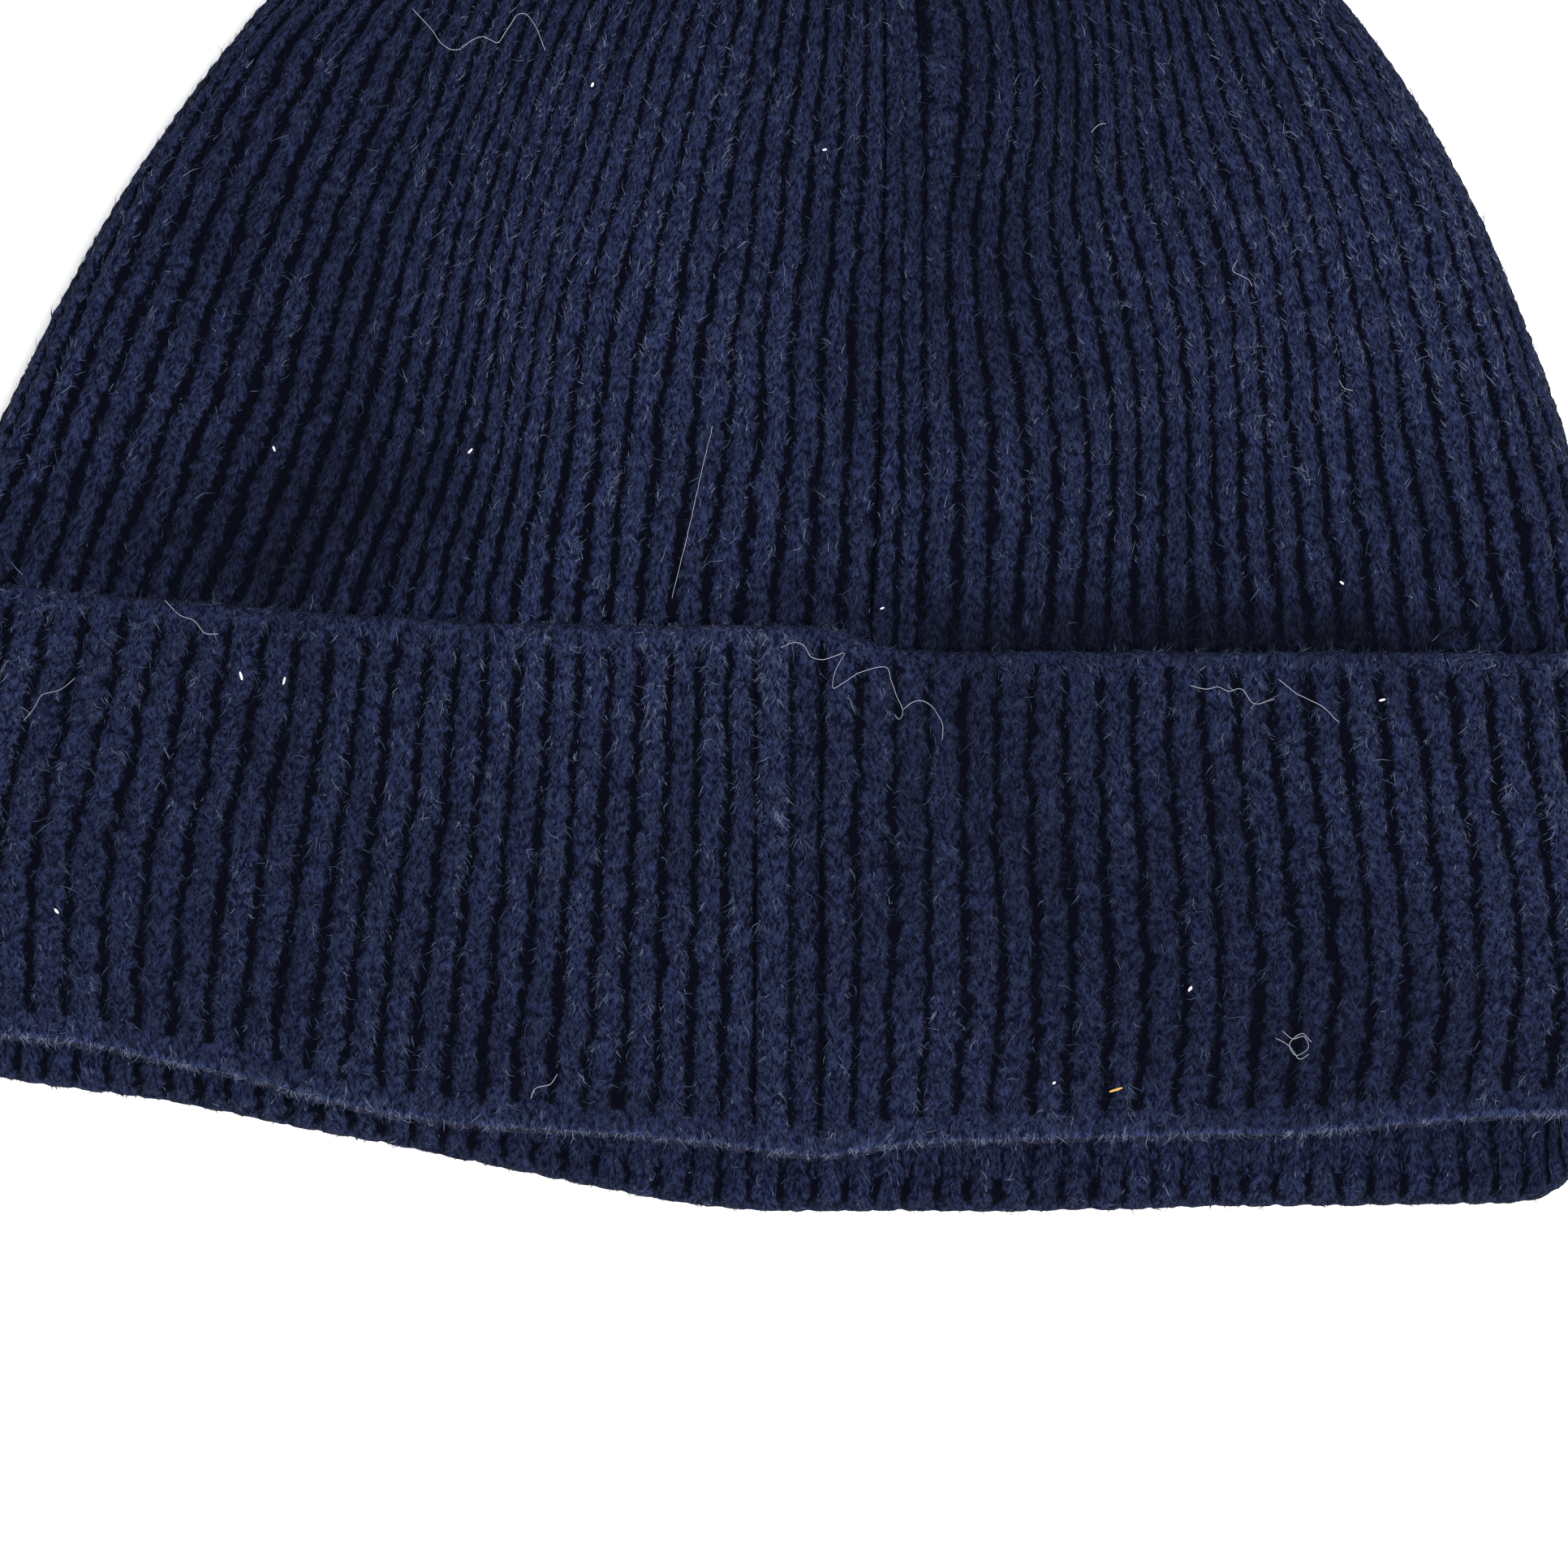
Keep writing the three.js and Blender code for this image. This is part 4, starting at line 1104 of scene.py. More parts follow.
        # the lower fold's groove values, kept within 0..1; their painted groove shade makes the dark pits right under
        # the upper edge of the lower fold, standing for the upper fold's shadow
        groove = np.clip(groove, 0, 1)
    # a fine raised ridge where the fabric is pressed at the turn, with a painted highlight along it and painted shade
    # in the hollow just past it
    crease = np.exp(-(((t_turn - 0.30) / 0.045) ** 2)) * is_turn
    if upper:
        down = down - 0.36 * crease * (0.8 + 0.3 * noise(Q / 3.0, 0 * Q, 203))
        # painted highlight along the crease, and a lighter painted band just under the free edge
        tone_and_shade = tone_and_shade + 3.4 * crease + 0.2 * np.exp(-(((along - 2.2) / 1.8) ** 2)) * (1 - is_turn)
        hollow = np.exp(-(((t_turn - 0.48) / 0.09) ** 2)) * is_turn
        down = down + 0.25 * hollow
        # painted shade in the hollow past the crease
        groove = np.clip(groove + 0.55 * hollow, 0, 1)
    if side and not seam:
        edge = cuff_seam_right(Y) if side > 0 else cuff_seam_left(Y)
        roll = np.exp(-(((Q - edge) / 0.5) ** 2)) * (out_rows)
        down = down + (0.55 if side > 0 else 0.25) * roll * ribs
        # painted shade in the line along the seam's edge, most on the right
        groove = np.clip(groove + (0.5 if side > 0 else 0.1) * roll * ribs, 0, 1)
    # move along the fabric's own normal
    inner_rows = ~out_rows
    amount = np.where(inner_rows, 0.0, down)
    Yd = Y - N_Y * amount
    Dd = D - N_D * amount
    back = (kinds == "back")[:, None]
    Dd = np.where(back, np.minimum(D + 0.0, LAYER) - 0.4 * np.clip(down, 0, 1.3), Dd)
    lip_rows = (kinds == "lip_back")[:, None]
    Dd = np.where(lip_rows, D - np.clip(down, 0, 1.6), Dd)
    P = cuff_point(Q, Yd, Dd, upper)
    # painted groove shade, weaker on the inner rows
    groove_shade = np.where(inner_rows, 0.6 * groove, groove)
    uv = np.stack([(phi + 80.0) * PITCH if not seam else 8.1 * s[None, :] + 0 * Y + 902.0, T * 2.1 + 400.0], -1)
    obj = sweep_mesh(name, P, n_out, uv, groove_shade, tone_and_shade, material=material or CUFF_KNIT)
    return obj, P[:n_out], (groove[:n_out], phi[:n_out], tone_and_shade[:n_out])


dn = 0.36 * COARSE
rows_b, nb = cuff_path(dn, 0.30 * COARSE, leg=1.5 * COARSE)
cuff_left, CL, CLg = cuff_panel("cuff_knit_back_left", -1, int(350 / COARSE), rows_b, nb)
cuff_right, CR, CRg = cuff_panel("cuff_knit_back_right", 1, int(320 / COARSE), rows_b, nb)
cuff_seam, CS, CSg = cuff_panel("cuff_knit_seam", 1, 27, rows_b, nb, material=SEAM_KNIT, seam=True)
rows_f, nf = cuff_path(0.48 * COARSE, 0.36 * COARSE, plain=1.1 * COARSE, leg=0.5 * COARSE)
cuff_front, CF, CFg = cuff_panel("cuff_knit_front", 0, int(600 / COARSE), rows_f, nf)

# ------------------------------------------------------------------ care label
def label_piece():
    lo, hi = (np.array(v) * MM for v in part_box("care_label"))
    x0, x1 = lo[0], hi[0]
    y0, y1 = lo[1], hi[1]
    z = (lo[2] + hi[2]) / 2 - 0.4
    width = y1 - y0
    # the strip runs out from the seam, turns over and comes back
    out = x1 - x0 - 0.4
    t1 = np.linspace(0, out, 30)
    a = np.linspace(-np.pi / 2, np.pi / 2, 9)[1:-1]
    path = [(x0 + t, z + 0.28 + 0.25 * math.sin(t / 6.0)) for t in t1]
    zf = path[-1][1]
    path += [(x0 + out + 0.28 * math.cos(v), zf - 0.28 - 0.28 * math.sin(v)) for v in a]
    path += [(x0 + t, zf - 0.56 - 0.25 * math.sin(out / 6.0) + 0.25 * math.sin(t / 6.0)) for t in t1[::-1]]
    path = np.array(path)
    tang = np.gradient(path, axis=0)
    tang /= np.linalg.norm(tang, axis=1)[:, None]
    nrm = np.stack([-tang[:, 1], tang[:, 0]], -1)
    n = len(path)
    cols = np.linspace(0, 1, 27)
    thick = 0.16
    P = np.zeros((2 * n, len(cols), 3))
    for k, sgn in ((0, 0.5), (1, -0.5)):
        pts = path + nrm * thick * sgn
        if k:
            pts = pts[::-1]
        for i in range(n):
            wav = 0.10 * np.sin(cols * 9 + i * 0.2)
            P[k * n + i, :, 0] = pts[i, 0]
            P[k * n + i, :, 1] = y0 + width * cols
            P[k * n + i, :, 2] = pts[i, 1] + 0.0 * wav
    return P, n, width, float(np.linalg.norm(np.diff(path, axis=0), axis=1).sum())


LP, Ln, L_width, L_len = label_piece()


def label_material():
    m = Nodes("label_satin")
    uv = m.new("ShaderNodeUVMap", uv_map="knit").outputs[0]
    mp = m.new("ShaderNodeMapping")
    m.link(uv, mp.inputs["Vector"])
    mp.inputs["Scale"].default_value = (1, 1, 1)
    wave = m.new("ShaderNodeTexWave", wave_type="BANDS", bands_direction="Y")
    m.link(mp.outputs[0], wave.inputs["Vector"])
    wave.inputs["Scale"].default_value = 2.2
    wave.inputs["Distortion"].default_value = 0.6
    spot = m.noise(mp.outputs[0], 0.5, 2.0, 0.5)
    base = m.mix(m.math("MULTIPLY", wave.outputs["Fac"], 0.5), rgb(206, 208, 212), rgb(228, 229, 231))
    base = m.mix(m.math("MULTIPLY", m.ramp(spot, 0.4, 0.7), 0.25), base, rgb(190, 193, 202))
    shader = m.new("ShaderNodeBsdfPrincipled")
    m.link(base, shader.inputs["Base Color"])
    shader.inputs["Roughness"].default_value = 0.42
    bump = m.new("ShaderNodeBump")
    bump.inputs["Strength"].default_value = 0.4
    bump.inputs["Distance"].default_value = 0.00008
    m.link(wave.outputs["Fac"], bump.inputs["Height"])
    m.link(bump.outputs[0], shader.inputs["Normal"])
    m.link(shader.outputs[0], m.out.inputs[0])
    return m.mat


_luv = np.stack([LP[..., 0] + 900, LP[..., 1]], -1)
label = sweep_mesh("satin_label", LP, Ln, _luv, np.zeros(LP.shape[:2]), np.zeros(LP.shape[:2]), material=label_material())

# ------------------------------------------------------------------ nap and lint
def normals_of(P):
    du = np.gradient(P, axis=1)
    dv = np.gradient(P, axis=0)
    n = np.cross(du, dv)
    n /= np.maximum(np.linalg.norm(n, axis=2, keepdims=True), 1e-9)
    return n, dv / np.maximum(np.linalg.norm(dv, axis=2, keepdims=True), 1e-9), du / np.maximum(
        np.linalg.norm(du, axis=2, keepdims=True), 1e-9
    )


def fibres(name, skins, count, length, width, materials, seed, lift=0.22, lean=0.42, spread=0.36):
    """Short hairs brushed up from the given skins: bent, pointed ribbons that lean with
    the two legs of each stitch. Each skin is (points, first row, last row, sign of its
    outward normal, groove, rib number, tone with painted light and shade)."""
    r = np.random.RandomState(seed)
    area = []
    for P, lo, hi, sign, groove, phi, tone_and_shade in skins:
        block = P[lo:hi]
        area.append(
            np.linalg.norm(np.diff(block, axis=0)[:, :-1], axis=2).mean()
            * np.linalg.norm(np.diff(block, axis=1)[:-1], axis=2).mean()
            * block[..., 0].size
        )
    area = np.array(area) / sum(area)
    bases, outs, alongs, acrosses, legs, clumps, toned_and_shaded = [], [], [], [], [], [], []
    for (P, lo, hi, sign, groove, phi, tone_and_shade), share in zip(skins, area):
        n, dv, du = normals_of(P)
        m = int(count * share * 1.9)
        # rows by length, so that close rows don't gather more hairs
        seg = np.linalg.norm(np.diff(P[lo:hi], axis=0), axis=2).mean(1)
        cum = np.concatenate([[0], np.cumsum(seg)])
        i = lo + np.interp(r.rand(m) * cum[-1], cum, np.arange(len(cum)))
        i = np.clip(i.astype(int), lo, hi - 1)
        j = r.randint(1, P.shape[1] - 1, m)
        wide = np.linalg.norm(P[i, j] - P[i, j - 1], axis=1)
        keep = (r.rand(m) > 0.98 * groove[i, j]) & (r.rand(m) < np.clip(wide / np.percentile(wide, 85), 0, 1))
        # tufts: hairs gather in clumps, with fewer hairs in the gaps between them; the clump value also gives the hairs
        # there darker shades, a painted shade
        spot = P[i, j]
        side_ = np.sign(phi[i, j] - np.floor(phi[i, j]) - 0.5)
        cu, cv = spot[:, 0] + 0.42 * side_ * spot[:, 1], spot[:, 1] - 0.42 * side_ * spot[:, 0]
        clump = 0.68 * noise(cu / 0.80, cv / 1.40, seed) + 0.42 * noise(cu / 0.40, cv / 0.8, seed + 1)
        keep &= r.rand(m) < np.clip(0.72 + 1.5 * clump, 0.12, 1)
        i, j, clump = i[keep], j[keep], clump[keep]
        clumps.append(clump)
        toned_and_shaded.append(tone_and_shade[i, j])
        bases.append(P[i, j] + (P[i, j] - P[i, j - 1]) * (r.rand(len(i), 1) - 0.5) + (P[i, j] - P[i - 1, j]) * (r.rand(len(i), 1) - 0.5))
        outs.append(n[i, j] * sign)
        alongs.append(dv[i, j])
        acrosses.append(du[i, j])
        c = phi[i, j] - np.floor(phi[i, j]) - 0.5
        legs.append(np.sign(c) * np.clip(np.abs(c) * 8, 0, 1))
    pick = r.permutation(sum(len(b) for b in bases))[:count]
    base, out = np.concatenate(bases)[pick], np.concatenate(outs)[pick]
    along, across = np.concatenate(alongs)[pick], np.concatenate(acrosses)[pick]
    leg, clump, light = (np.concatenate(v)[pick] for v in (legs, clumps, toned_and_shaded))
    m = len(base)
    turn = lean * leg + r.normal(0, spread, m)
    turn = np.where(r.rand(m) < 0.07, r.uniform(-np.pi, np.pi, m), turn)
    flat = along * np.cos(turn)[:, None] + across * np.sin(turn)[:, None]
    up = np.abs(r.normal(0, lift, m))[:, None] + 0.06
    start = flat * np.cos(up) + out * np.sin(up)
    L = np.clip(r.gamma(3.0, length / 3.0, m), 0.35 * length, 2.6 * length)[:, None]
    sideways = np.cross(out, flat)
    curl = r.normal(0, 0.5, (m, 1))
    d1 = start + sideways * curl - out * 0.5 * np.sin(up) * r.uniform(0, 2.2, (m, 1))
    d1 /= np.linalg.norm(d1, axis=1, keepdims=True)
    p0 = base - out * 0.05
    p1 = p0 + start * L * 0.5
    p2 = p1 + d1 * L * 0.5
    tilt = r.normal(0, 0.6, (m, 1))
    across_r = sideways * np.cos(tilt) + out * np.sin(tilt)
    half = width / 2 * r.uniform(0.6, 1.4, (m, 1))
    verts = np.stack([p0 - across_r * half, p0 + across_r * half, p1 - across_r * half * 0.9, p1 + across_r * half * 0.9, p2], 1)
    verts[..., 2] = np.maximum(verts[..., 2], 0.03)
    faces = np.array([(0, 1, 3), (0, 3, 2), (2, 3, 4)])
    idx = (np.arange(m)[:, None, None] * 5 + faces[None]).reshape(-1, 3)
    obj = tri_mesh(name, verts.reshape(-1, 3), idx, materials[0])
    for extra in materials[1:]:
        obj.data.materials.append(extra)
    # painted shade and light: hairs in the tufts' gaps and where the tone is low get darker shades, those on painted
    # highlights lighter; random spread on top
    shade = 1.05 * clump + 0.42 * light + r.normal(0, 0.24, m)
    which = np.searchsorted(SHADES, shade) if len(materials) > 1 else np.zeros(m, int)
    obj.data.polygons.foreach_set("material_index", np.repeat(which, 3).astype(np.int32))
    return obj


SHADES = np.array([-0.16, 0.24, 0.74])


def tri_mesh(name, verts, tris, material):
    mesh = bpy.data.meshes.new(name)
    mesh.vertices.add(len(verts))
    mesh.vertices.foreach_set("co", (verts / MM).astype(np.float32).ravel())
    mesh.loops.add(tris.size)
    mesh.loops.foreach_set("vertex_index", tris.astype(np.int32).ravel())
    mesh.polygons.add(len(tris))
    mesh.polygons.foreach_set("loop_start", (np.arange(len(tris)) * 3).astype(np.int32))
    mesh.polygons.foreach_set("use_smooth", np.ones(len(tris), bool))
    mesh.update(calc_edges=True)
    obj = bpy.data.objects.new(name, mesh)
    bpy.context.scene.collection.objects.link(obj)
    mesh.materials.append(material)
    return obj


def threads(name, paths, radius, material):
    """Loose fibres lying on the hat, each a thin three-sided tube along its points."""
    verts, tris = [], []
    for path in paths:
        p = np.array(path, float)
        n = len(p)
        d = np.gradient(p, axis=0)
        d /= np.maximum(np.linalg.norm(d, axis=1, keepdims=True), 1e-9)
        ref = np.array([0.0, 0.0, 1.0])
        a1 = np.cross(d, ref)
        a1 /= np.maximum(np.linalg.norm(a1, axis=1, keepdims=True), 1e-9)
        a2 = np.cross(d, a1)
        start = sum(len(v) for v in verts)
        ring = np.stack(
            [p + radius * (a1 * math.cos(t) + a2 * math.sin(t)) for t in (0, 2.094, 4.189)], 1
        )
        verts.append(ring.reshape(-1, 3))
        for i in range(n - 1):
            for k in range(3):
                a, b = start + i * 3 + k, start + i * 3 + (k + 1) % 3
                tris += [(a, b, b + 3), (a, b + 3, a + 3)]
        e = start + (n - 1) * 3
        tris += [(start, start + 2, start + 1), (e, e + 1, e + 2)]
    return tri_mesh(name, np.concatenate(verts), np.array(tris), material)


def specks(name, places, material):
    """Small white flakes: flat-sided ellipsoids at (point, long radius, short radius, heading)."""
    verts, tris = [], []
    for k, (place, a, b, heading) in enumerate(places):
        n, rings = 9, 5
        u = np.array([math.cos(heading), math.sin(heading), 0.0])
        v = np.array([-math.sin(heading), math.cos(heading), 0.0])
        start = len(verts)
        for i in range(1, rings):
            t = math.pi * i / rings
            for j in range(n):
                w = 2 * math.pi * j / n
                wob = 1 + 0.22 * math.sin(3.1 * j + 1.7 * i + k)
                verts.append(np.array(place) - u * a * math.cos(t) + (v * math.cos(w) + np.array([0, 0, 0.7]) * math.sin(w)) * b * math.sin(t) * wob)
        top, end = len(verts), len(verts) + 1
        verts += [np.array(place) - u * a, np.array(place) + u * a]
        for i in range(rings - 2):
            for j in range(n):
                p, q = start + i * n + j, start + i * n + (j + 1) % n
                tris += [(p, q, q + n), (p, q + n, p + n)]
        for j in range(n):
            p, q = start + j, start + (j + 1) % n
            tris.append((top, q, p))
            p, q = start + (rings - 2) * n + j, start + (rings - 2) * n + (j + 1) % n
            tris.append((end, p, q))
    return tri_mesh(name, np.array(verts), np.array(tris), material)


# one hair in four shades: partly the yarn's own spread of colour, partly painted shade between tufts and the painted
# light and shade of the tone
NAP = [
    plain_material("nap_deep", rgb(4, 7, 26), 0.95),
    plain_material("nap_mid", rgb(21, 27, 50), 0.95),
    plain_material("nap_light", rgb(42, 50, 73), 0.95),
    plain_material("nap_pale", rgb(76, 84, 104), 0.95),
]
STRAY = [plain_material("stray", rgb(70, 78, 98), 0.9)]
LINT = plain_material("lint_grey", rgb(150, 155, 168), 0.8, 0.0)
FLECK = plain_material("fleck_white", rgb(214, 216, 220), 0.7, 0.0)
GOLD = plain_material("fleck_straw", rgb(190, 150, 84), 0.6, 0.0)


def outward(P, i, j):
    """+1 where rows x columns cross products point out of the hat at that place."""
    n, _, _ = normals_of(P[max(0, i - 2) : i + 3, max(0, j - 2) : j + 3])
    return 1.0 if n[2, 2, 2] > 0 else -1.0


_i = (BLr[0] + BLr[1]) // 2
SIGN_BL = outward(BL, _i, BL.shape[1] // 2)
SIGN_BR = outward(BR, _i, BR.shape[1] // 2)
SIGN_BF = -outward(BF, (BFr[0] + BFr[1]) // 2, BF.shape[1] // 2)
SIGN_C = outward(CL, int(nb * 0.4), CL.shape[1] // 2)
SIGN_CF = -outward(CF, int(nf * 0.3), CF.shape[1] // 2)
N_FUZZ = 62000


def skin(P, g, lo, hi, sign):
    return (P, lo, hi, sign, g[0], g[1], g[2])


def bare(P, g, lo, hi, sign):
    return (P, lo, hi, sign, g[0] * 0, g[1], g[2])


hat_nap = [
    fibres("nap_back_left", [skin(BL, BLg, BLr[0] + 6, BLr[1] - 1, SIGN_BL)], N_FUZZ, 1.0, 0.085, NAP, 11),
    fibres(
        "nap_back_right",
        [skin(BR, BRg, BRr[0] + 6, BRr[1] - 1, SIGN_BR), skin(BS, BSg, BRr[0] + 6, BRr[1] - 1, SIGN_BR)],
        N_FUZZ, 1.0, 0.085, NAP, 12,
    ),
    fibres("nap_front", [skin(BF, BFg, BFr[0] + 6, BFr[1] - 1, SIGN_BF)], N_FUZZ // 2, 1.1, 0.11, NAP, 13, lift=0.12),
    fibres(
        "stray_back",
        [bare(BL, BLg, BLr[0] + 8, BLr[1] - 2, SIGN_BL), bare(BR, BRg, BRr[0] + 8, BRr[1] - 2, SIGN_BR)],
        N_FUZZ // 110, 1.7, 0.05, STRAY, 14, lift=0.5, spread=1.2,
    ),
]
cuff_nap = [
    fibres("nap_cuff_left", [skin(CL, CLg, 4, nb - 8, SIGN_C)], N_FUZZ, 1.0, 0.085, NAP, 21),
    fibres(
        "nap_cuff_right",
        [skin(CR, CRg, 4, nb - 8, SIGN_C), skin(CS, CSg, 4, nb - 8, SIGN_C)],
        N_FUZZ, 1.0, 0.085, NAP, 22,
    ),
    fibres("nap_cuff_front", [skin(CF, CFg, 4, nf - 4, SIGN_CF)], N_FUZZ, 1.0, 0.10, NAP, 23, lift=0.15),
    fibres(
        "stray_cuff",
        [bare(CL, CLg, 4, nb - 14, SIGN_C), bare(CR, CRg, 4, nb - 14, SIGN_C)],
        N_FUZZ // 110, 1.7, 0.05, STRAY, 24, lift=0.5, spread=1.2,
    ),
]


def top_of(x, y, cuff):
    """The height of the back of the hat at a plan place, mm."""
    if cuff:
        return float(cuff_point(np.array([x]), np.array([y]), 0.0, True)[0, 2])
    q = x - float(tube_cx(y))
    return float(tube_point(np.array([q]), np.array([y]), 0.0, True)[0, 2])


def laid(points, cuff, seed, lift=0.45):
    """A loose fibre through plan points, smoothed and laid on the knit."""
    r = np.random.RandomState(seed)
    p = np.array(points, float)
    p = np.concatenate([2 * p[:1] - p[1:2], p, 2 * p[-1:] - p[-2:-1]])
    out = []
    for k in range(1, len(p) - 2):
        a, b, c, d = p[k - 1], p[k], p[k + 1], p[k + 2]
        for t in np.linspace(0, 1, max(3, int(np.hypot(*(c - b)) / 0.3)), endpoint=False):
            out.append(0.5 * ((2 * b) + (c - a) * t + (2 * a - 5 * b + 4 * c - d) * t**2 + (3 * b - a - 3 * c + d) * t**3))
    out.append(p[-2])
    out = np.array(out)
    out += 0.05 * np.stack([noise(np.arange(len(out)) / 3.0, 0 * out[:, 0], seed), noise(np.arange(len(out)) / 3.0, 0 * out[:, 0], seed + 1)], -1)
    return [(x, y + TOP_Y, top_of(x, y, cuff) + lift + 0.25 * math.sin(i * 0.35 + seed)) for i, (x, y) in enumerate(out)]


def flake(x, y, cuff, a=0.55, b=0.16, heading=0.0):
    return ((x, y + TOP_Y, top_of(x, y, cuff) + 0.25), a, b, heading)


hat_lint = [
    threads(
        "lint_hat",
        [
            laid([(-50.3, 82.5), (-47.8, 80.1), (-46.1, 77.7), (-44.2, 77.1), (-41.3, 78.9), (-39.0, 78.3), (-38.0, 79.7),
                  (-36.2, 82.5), (-34.6, 81.7), (-32.6, 77.5)], False, 1),
            laid([(58.4, 52.5), (57.9, 51.1), (59.1, 50.5), (60.0, 49.9), (60.4, 49.0)], False, 2),
            laid([(-8.4, 26.6), (-9.2, 21.9), (-10.0, 17.5), (-10.8, 12.6), (-11.7, 7.7), (-12.5, 3.8)], False, 3),
            laid([(72.0, 36.8), (72.7, 35.7), (73.8, 35.3)], False, 4),
            laid([(39.0, 69.6), (39.9, 70.6), (40.8, 70.7)], False, 5),
        ],
        0.04,
        LINT,
    ),
    specks(
        "flecks_hat",
        [
            flake(-26.2, 72.9, False, 0.35, 0.17, 1.2),
            flake(-39.3, 21.9, False, 0.45, 0.15, 0.9),
            flake(-64.5, 21.2, False, 0.40, 0.15, 2.0),
            flake(4.4, 65.4, False, 0.32, 0.15, 0.2),
            flake(73.0, 9.7, False, 0.35, 0.14, 2.5),
            flake(14.4, 3.9, False, 0.30, 0.13, 0.4),
        ],
        FLECK,
    ),
]
cuff_lint = [
    threads(
        "lint_cuff",
        [
            laid([(1.7, -3.0), (3.0, -2.3), (4.6, -2.7), (5.6, -4.1), (7.2, -4.3), (8.7, -3.8), (9.8, -3.5), (8.8, -5.5),
                  (8.5, -8.1), (9.9, -7.3), (11.9, -5.8), (15.0, -5.0), (15.9, -6.6), (16.6, -8.7), (17.5, -10.6),
                  (17.1, -11.7), (16.5, -11.1)], True, 11),
            laid([(17.5, -10.4), (19.1, -9.3), (20.9, -9.6), (22.2, -11.3), (22.7, -12.7), (22.6, -14.2)], True, 12),
            laid([(53.8, -5.6), (55.8, -6.0), (57.3, -5.5), (58.8, -6.1), (60.4, -5.8), (62.0, -7.5), (64.6, -6.9)], True, 13),
            laid([(65.0, -4.3), (67.7, -6.1), (70.8, -7.7), (72.9, -9.5)], True, 14),
            laid([(-76.9, -0.5), (-74.8, -2.3), (-72.9, -3.1), (-71.6, -4.5), (-69.9, -4.5)], True, 15),
            laid([(-87.6, -11.3), (-89.4, -12.9), (-91.6, -13.8), (-92.5, -15.4), (-93.6, -17.2)], True, 16),
            laid([(66.7, -50.0), (68.0, -51.0), (69.4, -50.7), (70.0, -52.1), (68.4, -53.1), (67.6, -51.6), (69.2, -50.3),
                  (70.4, -51.3)], True, 17, 0.6),
            laid([(65.9, -50.9), (67.6, -52.0), (68.9, -53.5), (70.1, -52.8)], True, 18, 0.5),
            laid([(-26.9, -63.1), (-26.4, -61.8), (-24.6, -61.1), (-23.8, -59.8)], True, 19, 0.5),
        ],
        0.04,
        LINT,
    ),
    specks(
        "flecks_cuff",
        [
            flake(-66.6, -9.9, True, 0.62, 0.18, 1.9),
            flake(-61.1, -10.3, True, 0.55, 0.15, 1.4),
            flake(78.3, -6.3, True, 0.45, 0.15, 0.3),
            flake(55.0, -45.1, True, 0.42, 0.18, 1.0),
            flake(-87.8, -41.7, True, 0.45, 0.16, 2.3),
            flake(38.3, -58.0, True, 0.30, 0.14, 0.6),
        ],
        FLECK,
    ),
    specks("straw_bit", [flake(46.1, -58.5, True, 0.95, 0.16, 0.35)], GOLD),
]


for piece, nodes, body, slot in (
    (body_left, ["body_back_left"], "hat", "knit_body"),
    (body_right, ["body_back_right"], "hat", "knit_body"),
    (body_front, ["body_front"], "hat", "knit_body"),
    (body_seam, ["body_back_seam"], "hat", "knit_seam"),
    (gather, ["crown_gather"], "hat", "knit_seam"),
    (label, ["care_label"], "hat", "label"),
    (cuff_left, ["cuff_back_left", "cuff_fold_edge_back"], "cuff", "knit_cuff"),
    (cuff_right, ["cuff_back_right", "cuff_cast_on_edge_back"], "cuff", "knit_cuff"),
    (cuff_seam, ["cuff_back_seam"], "cuff", "knit_seam"),
    (cuff_front, ["cuff_front", "cuff_fold_edge_front", "cuff_cast_on_edge_front"], "cuff", "knit_cuff"),
):
    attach(piece, body)
    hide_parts(*nodes)
for piece in hat_nap + hat_lint:
    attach(piece, "hat")
for piece in cuff_nap + cuff_lint:
    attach(piece, "cuff")

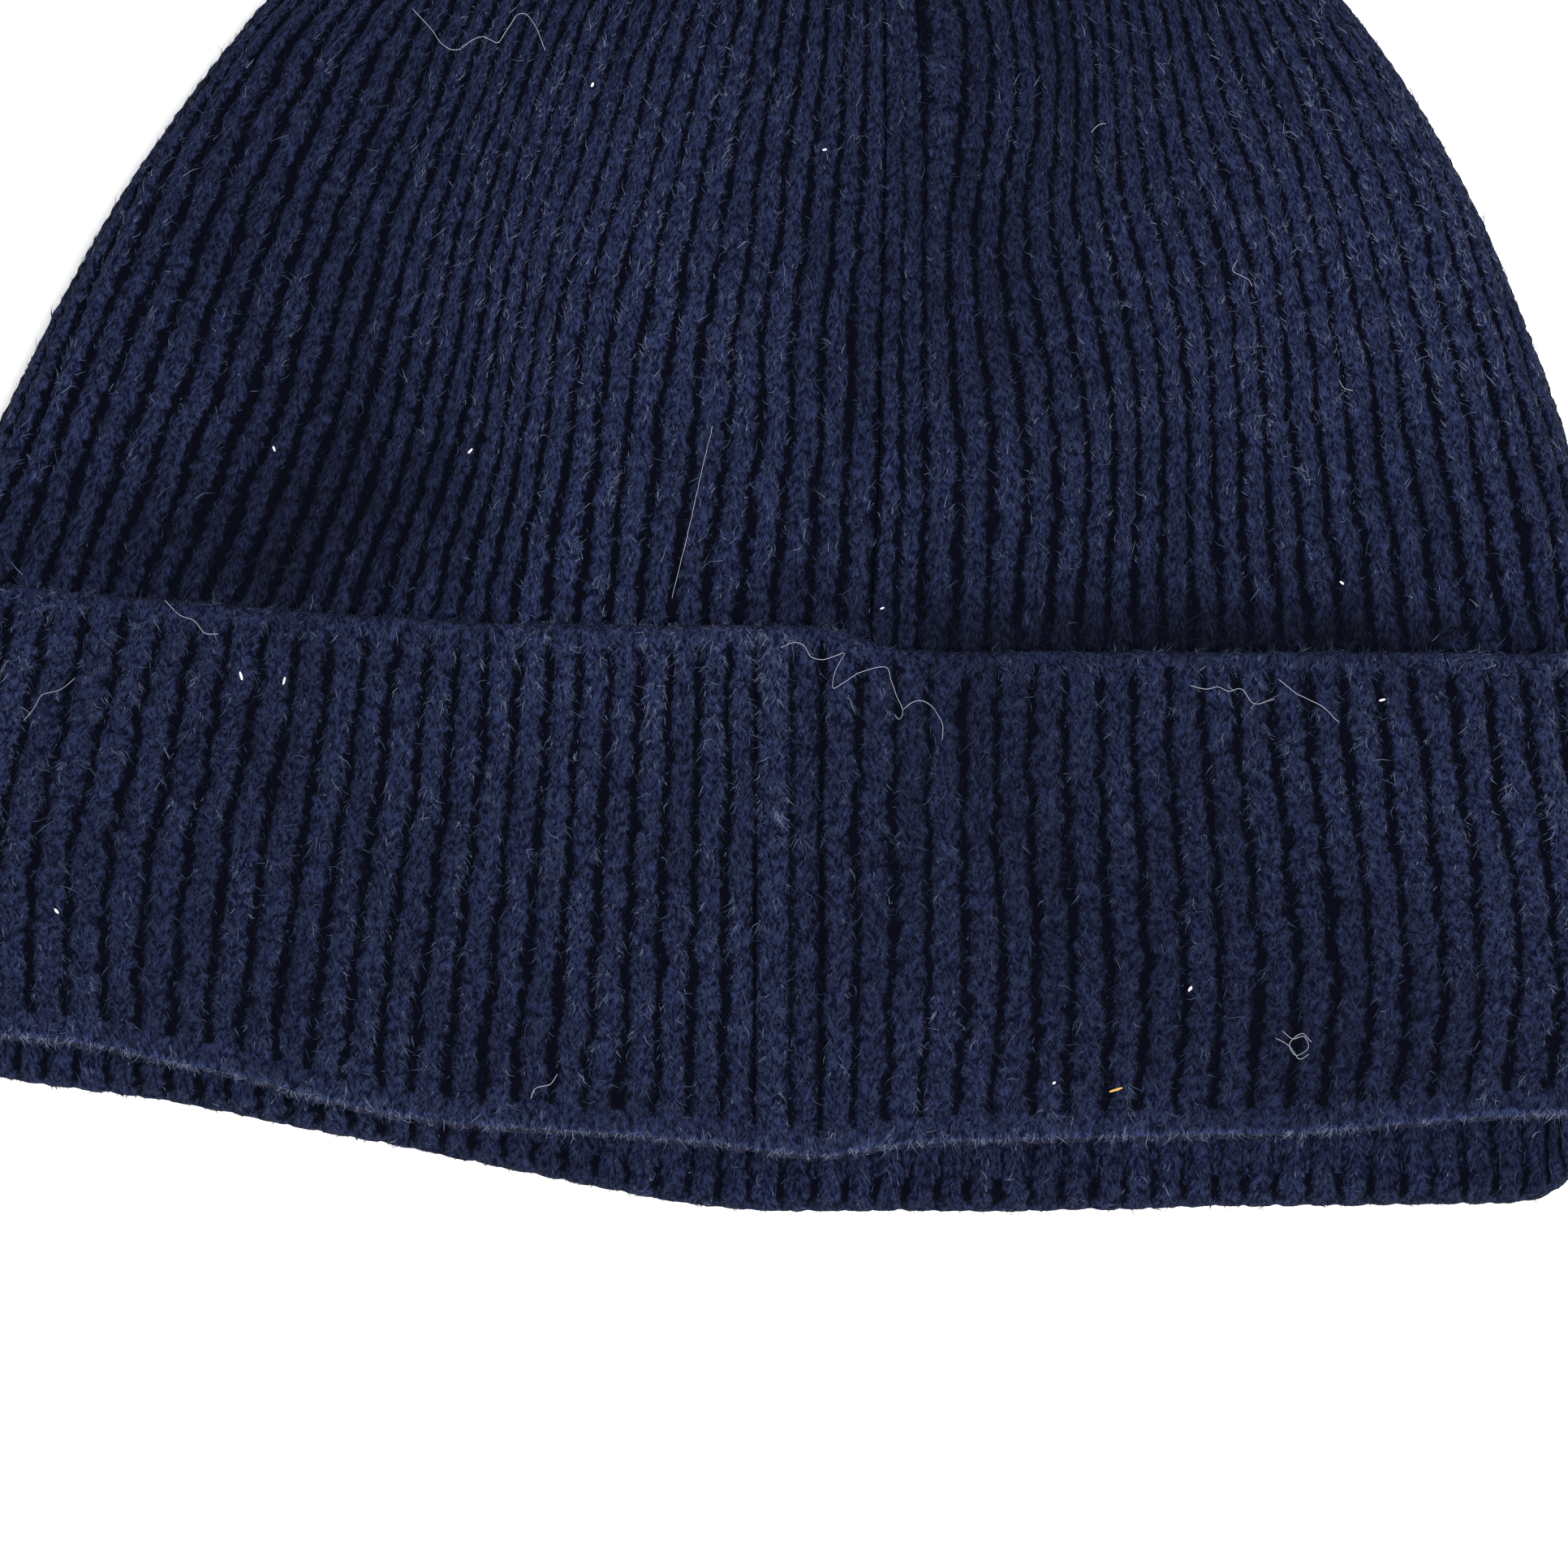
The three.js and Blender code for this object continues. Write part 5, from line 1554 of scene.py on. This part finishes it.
# ------------------------------------------------------------------ the studio
def floor():
    mesh = bpy.data.meshes.new("floor")
    s, z = 3.0, -0.0003
    # a wide disc that curves up into a low pale wall all round
    n = 96
    rings = [(0.8, z), (2.0, z), (2.5, 0.004), (2.8, 0.04), (2.95, 0.14), (s, 0.35), (s, 0.70)]
    verts = [(0, 0, z)]
    for rad, h in rings:
        verts += [(rad * math.cos(2 * math.pi * k / n), rad * math.sin(2 * math.pi * k / n), h) for k in range(n)]
    faces = [(0, 1 + k, 1 + (k + 1) % n) for k in range(n)]
    for i in range(len(rings) - 1):
        a = 1 + i * n
        faces += [(a + k, a + n + k, a + n + (k + 1) % n, a + (k + 1) % n) for k in range(n)]
    mesh.from_pydata(verts, [], faces)
    obj = bpy.data.objects.new("floor", mesh)
    bpy.context.scene.collection.objects.link(obj)
    m = Nodes("floor_white")
    shader = m.new("ShaderNodeBsdfPrincipled")
    shader.inputs["Base Color"].default_value = (0.86, 0.86, 0.86, 1)
    shader.inputs["Roughness"].default_value = 0.9
    shader.inputs["Specular IOR Level"].default_value = 0.1
    shader.inputs["Emission Color"].default_value = (1, 1, 1, 1)
    shader.inputs["Emission Strength"].default_value = 0.35
    m.link(shader.outputs[0], m.out.inputs[0])
    mesh.materials.append(m.mat)
    wall = plain_material("wall_white", (0.86, 0.86, 0.86, 1), 0.9)
    for node in wall.node_tree.nodes:
        if node.type == "BSDF_PRINCIPLED":
            node.inputs["Emission Color"].default_value = (1, 1, 1, 1)
            node.inputs["Emission Strength"].default_value = 0.8
    mesh.materials.append(wall)
    index = [0] * n + [0] * n + [1] * (n * (len(rings) - 2))
    mesh.polygons.foreach_set("material_index", index)
    return obj


floor()


def area(name, place, look, size, power, color=(1, 1, 1)):
    data = bpy.data.lights.new(name, "AREA")
    data.shape = "DISK"
    data.size = size
    data.energy = power
    data.color = color
    obj = bpy.data.objects.new(name, data)
    bpy.context.scene.collection.objects.link(obj)
    obj.location = place
    obj.rotation_mode = "QUATERNION"
    obj.rotation_quaternion = (Vector(look) - Vector(place)).to_track_quat("-Z", "Y")
    return obj


area("key", (0.30, -0.50, 1.35), (0, -0.03, 0), 0.55, 38.0, (1.0, 0.99, 0.975))
area("fill", (-1.1, 0.5, 1.3), (0, -0.03, 0), 1.0, 8.5, (0.95, 0.97, 1.0))
world = bpy.data.worlds.new("studio")
bpy.context.scene.world = world
world.use_nodes = True
world.node_tree.nodes["Background"].inputs[0].default_value = (1, 1, 1, 1)
world.node_tree.nodes["Background"].inputs[1].default_value = 0.28
bpy.context.scene.view_settings.view_transform = "Standard"
bpy.context.scene.view_settings.look = "None"
